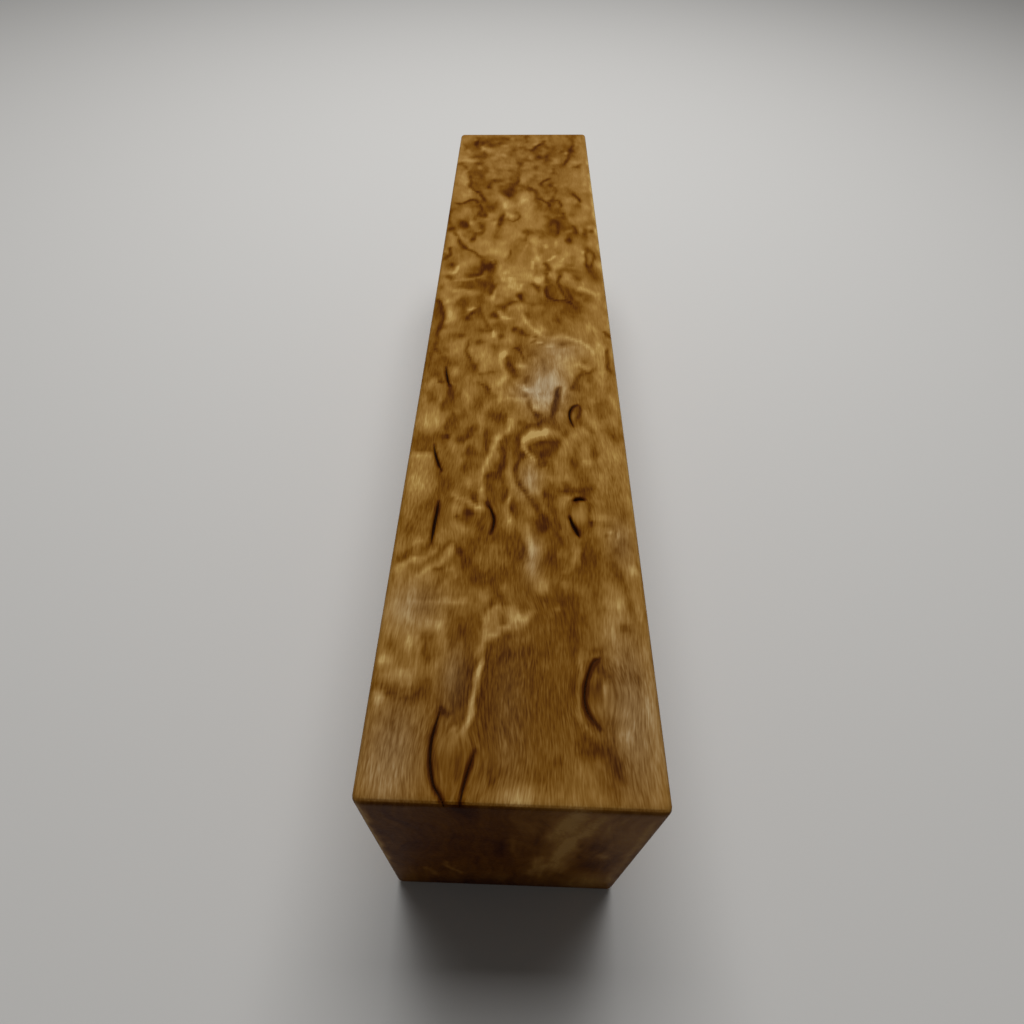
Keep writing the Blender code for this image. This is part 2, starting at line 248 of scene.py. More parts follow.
EYE_VEINS = (
    Vein(((4.05, 35.6), (4.15, 33.5), (4.15, 31)), 0.3, -0.16),
    Vein(((18.7, 31.8), (18.3, 31.1), (18.1, 30.1), (18.3, 29)), 0.34, -0.3),
    Vein(((20.1, 31.8), (20.5, 30.6), (20.5, 29.2), (21, 28.2)), 0.3, -0.24),
    Vein(((21.7, 27.6), (22.2, 26.8), (22.9, 27.2), (22.7, 28.1)), 0.16, -0.16),
    Vein(((22, 28.2), (22.5, 27.2), (23.1, 26.2)), 0.16, 0.14),
    Vein(((20.05, 47.4), (20.15, 46), (20, 44.8)), 0.2, -0.3),
    Vein(
        ((12.65, 38.8), (12.6, 37.5), (12.45, 36), (12.6, 34.6), (13, 33.4), (13.6, 32.2), (14.9, 30.3)),
        0.22,
        -0.42,
    ),
    Vein(((11.2, 37.6), (11, 36.3), (10.4, 35.4), (9.4, 35), (9, 33.9)), 0.4, -0.3),
    Vein(((10.6, 39.7), (10.8, 38.2), (11.2, 37)), 0.3, -0.22),
    Vein(((12.05, 27.8), (11.8, 29), (11.6, 30.2), (11.6, 31.5), (12.1, 32.5)), 0.24, 0.34),
    Vein(((5.1, 32.6), (6.3, 31.8), (7.5, 31), (8.5, 30.5), (9.3, 30.8)), 0.28, 0.24),
    Vein(((9, 34.2), (8.8, 33), (8.9, 31.3)), 0.24, 0.18),
    Vein(((10.4, 41.4), (10, 39.8), (9.6, 38.6), (9.1, 37.4), (8.7, 36), (8.6, 34.6)), 0.36, 0.36),
    Vein(((11.8, 44.8), (11.7, 43.5), (11.2, 42.2)), 0.4, 0.28),
    Vein(((10.4, 50.2), (10.3, 48.5), (10.2, 46.8)), 0.3, 0.2),
    Vein(((7.7, 45), (8.2, 43), (8.3, 41.2)), 0.3, 0.16),
    Vein(((16.8, 42.9), (15.8, 42.4), (15, 42), (14.1, 41.6), (13.6, 41), (13.4, 40)), 0.46, 0.6),
    Vein(((13.9, 41.6), (13.4, 40.6), (13.5, 39.5), (13.9, 38.5), (14.3, 37.7), (14.7, 36.8)), 0.28, 0.4),
    Vein(((13.9, 40.2), (14.5, 38.6), (15.3, 37.1)), 0.26, -0.24),
    Vein(((14.2, 39.9), (15, 40.6), (16.4, 40.9), (17.6, 40.7)), 0.36, -0.3, Crisp.LEFT),
    Vein(((12.9, 41.3), (13.5, 42.8), (14.6, 43.4), (15.6, 44.2), (16.1, 45.3)), 0.38, -0.24),
    Vein(((14.1, 37.2), (14, 35.5), (14, 34), (13.6, 33.1)), 0.2, 0.2),
    Vein(((15, 36.8), (14.8, 35.2), (14.5, 34.1)), 0.14, 0.18),
    Vein(((15.7, 33.4), (15.5, 31.6)), 0.16, -0.26),
    Vein(((13.7, 48.4), (14.1, 46.8), (14.8, 45.6), (15.9, 45)), 0.32, -0.42),
    Vein(((17.6, 50.4), (17.3, 48.6), (16.8, 46.8), (16.5, 44.4)), 0.45, -0.5, Crisp.RIGHT),
    Vein(((18.5, 51.2), (18.4, 49.8), (18.1, 48.2), (18, 47.1)), 0.25, 0.34),
    Vein(((17.95, 51), (17.7, 49.6), (17.4, 48.2)), 0.32, -0.3),
    Vein(((10.8, 48.2), (12.5, 48), (14, 48.2)), 0.3, 0.14),
    Vein(((20.7, 46.6), (21.8, 44.4), (23, 42.7), (24.5, 40.8)), 0.45, -0.16),
    Vein(((20.6, 46.6), (21.6, 44.7), (23.1, 42.8)), 0.5, 0.26),
    Vein(((17.6, 34.8), (18.2, 33.8), (18.8, 33.2)), 0.4, -0.18),
    Vein(((0.7, 50.4), (1.2, 48.5), (1.8, 46.8)), 0.45, -0.18),
    Vein(((3.8, 50.6), (3.9, 48.8), (4.3, 47.2)), 0.42, -0.3),
    Vein(((3.1, 47.4), (3.4, 45.2)), 0.36, -0.18),
    Vein(((8.8, 50.4), (9.3, 49), (9.8, 47.8)), 0.3, -0.12),
    Vein(((14, 28.6), (13.7, 27), (14.2, 25.2)), 0.5, 0.2),
    Vein(((15.4, 30.2), (15.3, 28.4), (15.7, 26.6)), 0.3, -0.12),
    Vein(((16.8, 29.8), (16.9, 27.6), (17.3, 25.8)), 0.25, -0.1),
    Vein(((0.3, 38.6), (1.6, 38.5), (2.9, 38.8)), 0.35, -0.16, Crisp.RIGHT),
    Vein(((4, 49), (4.3, 47), (4.6, 45), (5, 43.2), (5.8, 40.8)), 0.5, -0.3),
    Vein(((11.4, 39.2), (11.7, 36.4), (12, 34.2), (12.8, 32.2), (13.8, 30.6)), 0.4, 0.2),
    Vein(((15.1, 39.4), (15.3, 38), (15.8, 36.4)), 0.36, -0.3),
    Vein(((16.1, 33.2), (16.6, 31), (17, 29), (17.7, 27.2)), 0.5, -0.26),
    Vein(((8.6, 33.6), (8.7, 32), (9, 30.4)), 0.32, 0.3),
    Vein(((22.2, 48.2), (22.5, 46.4), (23.3, 44.6)), 0.5, -0.2),
    Vein(((14.4, 31.6), (15, 30.2), (15.6, 28.6), (15.8, 26.8)), 0.55, -0.3),
    Vein(((16.6, 33), (18, 32.9), (19.6, 33.1), (21, 32.9)), 0.45, -0.22),
)

EYE_CLOUDS = lay_clouds(
    (7.45, 29.5, 0.55, 0.5, -0.5), (6.2, 28.9, 0.2, 0.2, -0.35), (7, 27.4, 1.6, 0.7, 0.15),
    (4.15, 40.9, 0.32, 0.5, -0.8), (4.3, 43.2, 0.4, 1.2, -0.1), (1.6, 39.9, 2.2, 1.2, -0.26),
    (2, 35.2, 1.3, 2.8, 0.2), (1.8, 44, 1, 1.8, 0.1), (1.8, 29.8, 1.8, 2.6, -0.06),
    (6.3, 41, 0.7, 0.7, -0.28), (7, 39.1, 0.45, 0.9, -0.24), (6.7, 36, 0.45, 0.8, -0.22),
    (7.6, 42.6, 0.5, 0.6, -0.18), (7.8, 47, 0.5, 1.3, -0.22), (10.3, 44.6, 0.5, 1.1, -0.16),
    (11.2, 41, 0.5, 0.7, -0.34), (11.1, 32.6, 0.5, 0.9, -0.3), (12.2, 30.8, 0.3, 1, -0.22),
    (16, 39.4, 1.5, 1.4, -0.2), (17.4, 40.8, 0.6, 0.5, -0.16), (14, 35.2, 1, 2.2, 0.1),
    (19.5, 30, 0.6, 1.1, 0.14), (19.6, 45.6, 0.35, 0.9, 0.12), (20.8, 33.6, 0.9, 0.5, -0.2),
    (21.6, 39.8, 0.5, 1.2, -0.16), (24, 44.2, 0.6, 1.8, -0.1), (11, 26.2, 2.6, 1.2, -0.14),
    (12.2, 46.4, 1.4, 0.8, -0.04), (12.3, 39.6, 0.8, 1.7, -0.34), (10.2, 34.9, 0.8, 1.2, -0.2),
    (22.6, 27.6, 1.3, 0.9, 0.22), (6, 49.2, 0.7, 1.4, 0.26), (10, 47, 0.5, 1.2, 0.14),
    (16.4, 44.4, 0.7, 0.7, -0.2), (23.4, 38.4, 1.1, 1.6, 0.2), (22.2, 35.2, 0.9, 1.4, 0.12),
    (17.8, 42.2, 1.1, 0.9, 0.16), (4.9, 33.8, 0.6, 2.6, -0.22), (14.7, 33, 0.5, 0.9, 0.2),
    (1.4, 44.6, 0.9, 2.4, 0.16), (3.7, 47, 0.45, 1.1, -0.28), (4, 43.4, 0.45, 1.1, -0.25),
    (5.7, 45, 0.4, 0.9, -0.33), (5.8, 40.5, 0.5, 0.7, -0.36), (6.8, 42.3, 0.6, 0.5, -0.17),
    (2.8, 43.5, 0.7, 0.9, 0.22), (1.5, 42.8, 0.7, 0.8, 0.12), (2.9, 39.3, 0.5, 0.9, 0.23),
    (1.8, 37.8, 1.1, 0.4, 0.2), (7, 36.8, 0.5, 0.8, -0.17), (9.2, 45.2, 0.4, 0.8, -0.31),
    (9, 41.7, 0.5, 1.1, -0.39), (9, 39.5, 0.4, 0.9, -0.23), (10.5, 40.4, 0.8, 0.5, -0.25),
    (12.8, 40.9, 0.4, 1.2, -0.23), (13, 38.3, 0.7, 0.6, -0.36), (10.3, 36.6, 0.4, 0.6, -0.28),
    (8.4, 36.4, 0.4, 0.6, -0.17), (9.6, 34.8, 0.6, 0.6, -0.17), (11.3, 42.2, 0.35, 0.45, 0.33),
    (11.5, 49.2, 0.6, 0.6, 0.17), (9.2, 49.4, 0.4, 0.9, 0.23), (13, 43.6, 0.5, 0.6, -0.22),
    (14.7, 46.4, 0.4, 0.6, 0.28), (17.6, 45.6, 0.8, 0.6, 0.27), (16, 42, 0.6, 0.4, 0.27),
    (17, 44, 0.9, 0.7, -0.17), (18, 39.8, 0.4, 1.6, 0.31), (17.4, 36.6, 0.7, 1.4, 0.19),
    (16.6, 35, 1.1, 0.5, 0.2), (18.8, 37.3, 0.4, 1.3, -0.25), (20.5, 37.5, 0.6, 0.7, 0.28),
    (21.4, 35.6, 1.1, 0.7, 0.17), (21.8, 39, 0.45, 0.8, -0.23), (19.2, 41.8, 0.45, 0.6, 0.25),
    (20, 45, 0.35, 0.9, -0.33), (22, 46.6, 0.6, 1.2, 0.12), (24.2, 44, 0.45, 0.6, 0.28),
    (24.6, 47.5, 0.4, 1.5, 0.31), (21.6, 48.2, 0.6, 1.1, 0.16), (19, 31, 0.4, 0.9, -0.2),
    (22, 29.3, 1.6, 0.5, 0.22), (14, 26.2, 0.45, 0.9, 0.28), (11.8, 28, 0.6, 1.1, 0.22),
    (8.8, 27.6, 0.6, 0.9, -0.28), (8.6, 30.3, 0.7, 0.5, 0.39), (6.2, 30.2, 0.45, 0.7, 0.25),
    (7.3, 33.5, 0.4, 0.9, 0.19), (9, 31.7, 0.4, 0.5, 0.2), (4, 33, 0.4, 1.4, -0.19),
    (2.8, 25.6, 0.7, 0.5, 0.33), (16, 25.6, 0.6, 1.4, -0.19), (10.4, 25.4, 1, 0.7, 0.17),
    (6.5, 28, 0.6, 0.5, 0.16), (19.5, 27.2, 0.4, 0.8, -0.19), (3, 46.9, 0.4, 0.9, 0.14),
    (5.2, 45.3, 1, 0.5, 0.12), (11.8, 47.9, 1.2, 0.5, 0.14), (22, 43.2, 0.7, 1.2, 0.16),
    (22.9, 42.2, 0.6, 0.8, 0.12), (20, 44.3, 0.5, 0.6, 0.1), (10.2, 41, 0.45, 0.7, 0.28),
    (10.3, 38.7, 0.35, 1.2, 0.14), (6.9, 40.5, 0.8, 0.6, 0.14), (18.2, 38.6, 0.5, 0.8, 0.12),
    (23.6, 40, 0.9, 1.6, 0.1), (1.3, 32.5, 1.1, 2, 0.16), (8.6, 34.6, 0.35, 0.9, 0.14),
    (11.6, 32.2, 0.35, 0.8, 0.13), (22.8, 27.4, 1, 0.8, 0.13), (19.4, 29.6, 0.6, 0.7, 0.08),
    (24, 37, 0.5, 1.6, 0.08), (15.2, 25, 0.7, 1, 0.12), (5, 47.3, 0.6, 1, -0.12),
    (14.1, 47.2, 0.5, 0.6, -0.2), (15.9, 45.6, 0.9, 0.6, -0.16), (17.6, 43, 1, 0.7, -0.14),
    (13, 40.8, 0.35, 1, -0.26), (9.2, 40.2, 0.4, 0.6, -0.16), (8.2, 31.9, 0.5, 0.8, -0.24),
    (11, 36.1, 0.5, 1.1, -0.18), (20.2, 35.2, 1, 1, -0.16), (17, 39.9, 1, 0.9, -0.12),
    (15, 27.9, 0.5, 0.9, -0.12), (6.8, 28.4, 0.5, 0.6, -0.14), (8.8, 26.1, 0.9, 0.5, -0.14),
    (18.3, 42.1, 0.6, 0.5, -0.12), (19.7, 46.3, 0.5, 0.6, -0.12), (21.4, 42.6, 0.6, 0.6, -0.14),
    (5.6, 31.7, 0.5, 0.6, -0.14), (9.6, 44.3, 0.9, 0.8, -0.07), (3.2, 35.6, 1.2, 1.4, -0.05),
    (21.6, 38.2, 1, 1.4, -0.05), (17, 30.2, 0.6, 1.2, -0.07),
)

MIDDLE_VEINS = (
    Vein(
        ((-0.3, 69.3), (0.5, 69), (1.1, 68.1), (1.4, 66.5), (1.55, 65), (1.6, 63.6), (1.5, 62.3)),
        0.3,
        -0.6,
    ),
    Vein(((1.6, 62.8), (1.2, 60.5), (1.05, 58.2)), 0.34, -0.2),
    Vein(((0.7, 58.2), (1.5, 57.4), (2.3, 56.2)), 0.34, -0.16),
    Vein(((0.7, 56.9), (1.1, 55.2)), 0.3, -0.2),
    Vein(((3.6, 50.8), (3.9, 49.4), (4.3, 48)), 0.32, -0.3),
    Vein(((2.2, 51.1), (2.5, 50.8), (2.8, 51.4)), 0.2, -0.26),
    Vein(((1.7, 50.8), (1.9, 49.2)), 0.36, -0.18),
    Vein(
        ((6.1, 60.4), (5.5, 59.4), (5.4, 58), (5.6, 56.8), (6, 55.7), (6.4, 54.5), (6.6, 53)), 0.25, -0.28
    ),
    Vein(((6.8, 52.8), (8.5, 52.9), (9.8, 53.2)), 0.3, -0.18),
    Vein(((7, 51.2), (8.2, 50.3), (9.1, 49.2)), 0.34, -0.22),
    Vein(((6.8, 59.8), (8.2, 59.4)), 0.4, -0.12),
    Vein(((9.8, 57.2), (10.1, 56), (10.2, 55), (10.5, 53.8), (10.9, 52.5), (11.3, 51.2)), 0.36, 0.26),
    Vein(((11.1, 57.2), (11.2, 55.4), (11.5, 54), (12, 52.6)), 0.45, -0.42, Crisp.RIGHT),
    Vein(((11.3, 58.6), (12.3, 58.1), (12.9, 57.2), (13.4, 55.8)), 0.25, -0.26),
    Vein(((15.1, 52.4), (15, 50.5), (15, 48.8)), 0.32, 0.14),
    Vein(((17.4, 54.8), (17, 52.5), (17, 49.6)), 0.45, 0.14),
    Vein(((12.1, 51.3), (13.5, 50), (14.5, 49.2)), 0.3, 0.16),
    Vein(((13.6, 52.8), (13.5, 51)), 0.3, -0.2),
    Vein(((20.3, 55.2), (20.8, 54.1), (21.3, 53.6), (22, 53.9), (22.8, 55)), 0.32, -0.28),
    Vein(((20.9, 53.9), (20.2, 52.5), (19.7, 51), (19.3, 49.6)), 0.4, -0.26),
    Vein(((21.9, 53.3), (21.5, 51.2)), 0.3, -0.14),
    Vein(((12.8, 62.5), (13.6, 61.5), (14.6, 61), (15.3, 60.6)), 0.25, -0.24),
    Vein(((18.2, 61.1), (19.7, 61), (20.8, 60.4), (21.7, 59.4), (22.4, 58.3), (22.8, 56.6)), 0.36, 0.26),
    Vein(((17.8, 60.1), (19.2, 60), (20.5, 59.6), (21.6, 58.4)), 0.45, -0.16),
    Vein(
        ((12.3, 67.7), (12.7, 66.4), (13.1, 65.2), (13.8, 63.8), (14.8, 62.6), (15.6, 61.5), (16.3, 60.6)),
        0.34,
        0.24,
    ),
    Vein(((5.1, 66.6), (5.6, 67.4), (6.2, 67.9)), 0.3, 0.4),
    Vein(((4.8, 64.6), (5.3, 65.7), (6, 66.7)), 0.34, -0.3),
    Vein(((4.2, 68.8), (4.4, 67), (4.4, 65.6)), 0.34, -0.18),
    Vein(((9.5, 67.2), (9.9, 66), (10.2, 64.8)), 0.36, 0.28),
    Vein(((7.2, 66.8), (7.5, 65), (7.8, 63.8), (8.4, 62.5)), 0.36, -0.24),
    Vein(((9.1, 62.5), (9.1, 61.2), (9.2, 60.1)), 0.25, 0.36),
    Vein(((12.4, 69.6), (11.2, 69.1), (10.5, 68.1), (9.6, 68.2)), 0.4, -0.22),
    Vein(((9.3, 74.4), (9, 72), (8.4, 70), (7.9, 69.2)), 0.34, 0.24),
    Vein(((12.9, 74.2), (12.8, 72.3)), 0.32, 0.24),
    Vein(((11, 74.5), (11.2, 72), (10.5, 70.2)), 0.5, 0.14),
    Vein(((2.2, 71.4), (4, 72), (5.7, 71.4)), 0.45, 0.14),
    Vein(
        ((16.4, 74.4), (16.4, 72.5), (16.7, 71.2), (17.5, 70.4), (18.6, 70.1), (19.6, 69.9), (21, 68.3)),
        0.3,
        -0.42,
    ),
    Vein(((18.3, 74.3), (18.7, 72.6), (19.3, 71.2), (19.7, 70.1)), 0.27, -0.38),
    Vein(((20.8, 74.2), (22.5, 73), (24.5, 71.7)), 0.45, 0.18),
    Vein(((24.3, 62.9), (24.9, 61.1)), 0.34, -0.38),
    Vein(((24.8, 59.4), (24.4, 57.5), (24.2, 56), (24.3, 54.7), (24.8, 53.4)), 0.25, -0.45),
    Vein(((14.2, 59.4), (14.7, 60.4)), 0.24, -0.24),
    Vein(((2.2, 68.4), (2.6, 66.2), (2.4, 63.2)), 0.5, 0.24),
    Vein(((19.2, 74.2), (19.9, 72), (20.6, 70.2), (21.6, 68.2)), 0.5, -0.26),
)

MIDDLE_CLOUDS = lay_clouds(
    (0.6, 66, 0.6, 2, -0.12), (6.8, 53.9, 0.45, 0.8, -0.26), (10.6, 57, 0.6, 0.45, 0.3),
    (15.4, 47.9, 1.6, 2.2, 0.3), (16.6, 52.8, 2.3, 3.6, 0.16), (13.8, 50, 1.2, 1, 0.1),
    (16.6, 59.1, 0.7, 0.4, 0.34), (15.3, 59.7, 0.6, 0.3, 0.34), (17.9, 61.3, 0.8, 0.5, 0.2),
    (13.1, 61.8, 0.6, 0.8, -0.26), (11.4, 61, 0.9, 1.8, 0.3), (8.9, 66, 0.55, 0.8, -0.32),
    (12.6, 70.6, 0.38, 1, -0.42), (6.8, 73.1, 1.9, 1.4, -0.2), (4, 73.6, 1, 0.8, -0.12),
    (3, 67.2, 0.8, 3, 0.12), (18, 72.6, 1.2, 2, -0.26), (4.3, 60.9, 0.9, 0.6, -0.2),
    (18, 66.5, 3, 2.6, -0.04), (15.5, 63.4, 0.8, 1.4, 0.28), (21.6, 61.6, 2.8, 2.8, 0.14),
    (23.4, 53.8, 0.8, 3.4, 0.32), (19.2, 54.4, 0.9, 1.4, 0.22), (7.7, 57, 1.3, 2.2, 0.28),
    (4, 58.6, 0.8, 1.8, 0.2), (2.6, 55.4, 0.9, 0.9, -0.36), (6, 52.6, 1.1, 1.2, -0.14),
    (8, 63, 1.8, 1.2, -0.18), (6.8, 67, 0.5, 1.4, -0.26), (7.7, 71.8, 0.9, 0.8, -0.2),
    (17.5, 69, 3.2, 1.4, -0.12), (23.4, 69.4, 1.2, 4, 0.2), (11.6, 68, 0.9, 0.7, 0.2),
    (3.8, 69, 1.4, 1.3, -0.27), (1.1, 70.9, 0.6, 1.2, 0.23), (1.7, 72.6, 0.8, 1.1, 0.17),
    (2.1, 61.6, 0.6, 1.6, 0.17), (0.7, 66, 0.35, 2.2, -0.17), (6.8, 70.5, 0.5, 1.1, -0.25),
    (5.1, 64.6, 0.5, 0.5, -0.33), (8.4, 71.3, 0.4, 0.6, -0.2), (5.3, 67.3, 0.35, 0.7, 0.23),
    (6.6, 66.6, 0.5, 1, -0.16), (9.8, 68.2, 0.8, 0.7, -0.39), (9.2, 65.4, 0.5, 0.8, -0.39),
    (11, 65.2, 0.7, 0.45, 0.36), (9.5, 63.8, 0.5, 0.7, -0.17), (8, 62.2, 1.1, 0.5, -0.27),
    (10, 61, 0.35, 0.7, -0.27), (12, 62.6, 0.5, 0.7, -0.36), (12.8, 68, 0.7, 0.9, 0.3),
    (13.6, 66.4, 0.4, 0.5, -0.2), (14.5, 69, 1.1, 0.5, -0.17), (12, 72.4, 0.6, 1.3, 0.23),
    (10.3, 72.4, 0.6, 1.4, 0.19), (15.3, 72.6, 0.45, 0.7, -0.23), (18.3, 72.6, 0.4, 1.1, 0.22),
    (21.4, 72, 0.9, 0.7, -0.36), (22.9, 71.5, 0.6, 0.6, -0.17), (20.6, 68.5, 0.8, 0.5, -0.36),
    (18.5, 67.3, 2.2, 0.8, -0.17), (20.5, 65, 1.2, 1.1, 0.17), (22.3, 63.5, 0.7, 1.3, 0.23),
    (15.8, 62.8, 0.9, 0.9, 0.16), (16.6, 61.2, 1.3, 0.5, 0.23), (14, 64.6, 0.9, 0.7, 0.16),
    (11, 60, 0.6, 0.8, 0.12), (23.4, 60, 0.6, 1.1, 0.31), (20.8, 59.2, 1.4, 0.9, 0.23),
    (18.6, 59.4, 0.45, 0.5, -0.28), (15.5, 59.2, 0.6, 0.3, -0.12), (19.8, 57.4, 0.6, 0.9, 0.2),
    (20.5, 55.6, 0.7, 0.9, 0.2), (17.8, 56.5, 0.45, 0.9, 0.25), (15.6, 55.4, 0.7, 1.1, -0.34),
    (12.8, 54.6, 0.6, 0.6, 0.39), (11, 55, 0.4, 0.9, -0.17), (9, 58.5, 0.9, 0.8, -0.25),
    (7, 59.4, 0.45, 0.5, -0.25), (6.2, 57.5, 0.5, 0.8, 0.23), (10.6, 57, 0.4, 0.9, 0.17),
    (3, 54.7, 1.8, 0.7, -0.19), (6, 51.6, 0.4, 0.8, 0.22), (1.9, 50.5, 0.6, 1.1, 0.36),
    (9.4, 50.3, 0.6, 1.3, 0.28), (11.4, 50, 0.45, 0.9, 0.23), (12.2, 52.7, 0.6, 0.6, -0.25),
    (13.7, 52.2, 0.3, 0.6, 0.16), (13.5, 48.6, 0.4, 0.5, -0.27), (19.4, 53.2, 0.5, 0.8, 0.19),
    (21.3, 51.3, 0.45, 0.8, 0.2), (24.5, 49, 0.4, 1.2, 0.17), (23, 56, 0.9, 1.3, 0.12),
    (1.8, 69, 0.7, 0.8, 0.13), (2.3, 65.5, 0.4, 0.9, 0.13), (3, 71.5, 0.6, 0.6, 0.13),
    (6.5, 71.3, 0.6, 0.6, 0.13), (21.3, 72.9, 0.6, 0.7, 0.12), (12.5, 63.5, 0.8, 0.7, 0.13),
    (9.4, 61.2, 0.5, 0.7, 0.13), (10.6, 57.6, 0.6, 0.8, 0.13), (8.5, 55, 0.6, 0.8, 0.13),
    (17.8, 55.5, 0.7, 0.7, 0.13), (20.5, 54.6, 1.1, 0.6, 0.13), (11, 72.8, 1.6, 1.2, -0.16),
    (6, 67, 0.6, 0.9, -0.13), (10.4, 61, 0.4, 0.7, -0.14), (11.2, 54, 0.7, 0.8, -0.13),
    (2.6, 51, 0.5, 0.8, -0.14),
)

FAR_VEINS = (
    Vein(((1.35, 84.6), (1.4, 83), (1.3, 82), (0.9, 80.6)), 0.36, -0.42),
    Vein(
        ((1.7, 87.4), (2.3, 86.2), (3, 84.9), (3.8, 84), (4.8, 83.2), (5.7, 82.2), (6.4, 80.8)),
        0.4,
        -0.42,
    ),
    Vein(((6.5, 81), (6.7, 79.5), (6.8, 78), (6.5, 76.8), (5.6, 76)), 0.4, -0.34),
    Vein(((7.8, 80.6), (7.8, 78.2)), 0.34, -0.32),
    Vein(((8.6, 81), (8.3, 78.8)), 0.36, -0.24),
    Vein(((1.9, 76.1), (2.5, 77), (2.9, 78), (3, 79.2)), 0.25, 0.4),
    Vein(((1.8, 75.4), (2.2, 74)), 0.3, -0.2),
    Vein(((1.5, 89.2), (2, 87.8), (2.5, 86.3)), 0.3, -0.2),
    Vein(((2.2, 89.8), (2.6, 88), (3.2, 86.4)), 0.3, 0.18),
    Vein(((0.3, 97.5), (0.2, 94), (0.5, 91)), 0.4, -0.32),
    Vein(((5.3, 98.4), (5.8, 96.8), (6.1, 95.5), (6.2, 94.3)), 0.4, -0.48),
    Vein(((4.3, 97.2), (4.4, 95), (4.8, 92.6)), 0.28, -0.14),
    Vein(((6.2, 91.9), (6.2, 90), (5.9, 88.4)), 0.34, -0.34),
    Vein(((5.1, 89.4), (4.8, 87.8), (4.6, 86.2)), 0.38, -0.34),
    Vein(((9.5, 96.2), (9.1, 94), (9, 92.5), (9, 91.1)), 0.42, -0.38),
    Vein(
        ((10.2, 96.5), (10, 95), (10.4, 93.8), (11.2, 93.3), (12, 93.8), (12.2, 95), (12, 96.5)),
        0.2,
        -0.22,
    ),
    Vein(((18.8, 93.8), (18.7, 92), (18.6, 90.5), (18.6, 89)), 0.34, -0.4),
    Vein(((19.6, 97.4), (19.7, 95.1)), 0.38, -0.28),
    Vein(((20.9, 93), (21.5, 91.8), (21.6, 90.5), (21.7, 89.2)), 0.34, -0.34),
    Vein(((23.5, 84.9), (24, 83.8), (24.1, 82.5), (24, 81), (23.8, 79.8), (23.3, 78.7)), 0.25, -0.34),
    Vein(((23.4, 84.7), (22.9, 83), (22.8, 81.5), (22.9, 80), (23.4, 78.9)), 0.25, -0.34),
    Vein(((16.3, 80.7), (16.7, 79.5), (17, 78.2)), 0.38, -0.38),
    Vein(((16.3, 77.9), (16.6, 76), (16.5, 74.1)), 0.36, -0.38),
    Vein(((18.7, 77.3), (18.6, 76), (18.3, 74.8), (18.5, 73.2)), 0.28, -0.38),
    Vein(((15, 79.9), (15, 78), (14.7, 76.2)), 0.28, -0.18),
    Vein(((14.4, 81.3), (14.5, 79.5), (14.4, 77.9)), 0.25, 0.28),
    Vein(((18, 82.9), (17.6, 81.7), (17, 80.7)), 0.28, 0.34),
    Vein(((19.4, 82.2), (18.8, 80.3)), 0.28, 0.18),
    Vein(((16.5, 86.5), (16.6, 84.7)), 0.28, 0.24),
    Vein(((18.9, 87.7), (18.3, 86), (17.7, 84.5)), 0.25, 0.18),
    Vein(((13.6, 86.3), (13.2, 84.5), (12.8, 82.6)), 0.2, 0.18),
    Vein(((10.9, 84.4), (10.9, 82.5), (10.4, 80.7)), 0.2, -0.2),
    Vein(((13.7, 89.6), (13.3, 87.8), (13.2, 86.4)), 0.25, -0.18),
    Vein(((14.2, 74.8), (15.5, 73)), 0.36, -0.26),
    Vein(((9.1, 80.2), (9.4, 77.4), (9.8, 74)), 0.5, 0.32),
    Vein(((11, 76.4), (11.2, 74.6), (11.6, 72.6)), 0.7, 0.34),
    Vein(((1.5, 74.3), (3, 74.7), (4.6, 74.9), (6.4, 75.6), (7.6, 76.6)), 0.36, 0.22),
    Vein(((0.3, 82.8), (0.6, 81.4), (0.4, 79.8)), 0.4, -0.3),
    Vein(((5.4, 92.8), (5.8, 91.4), (5.7, 89.8)), 0.4, -0.2),
)

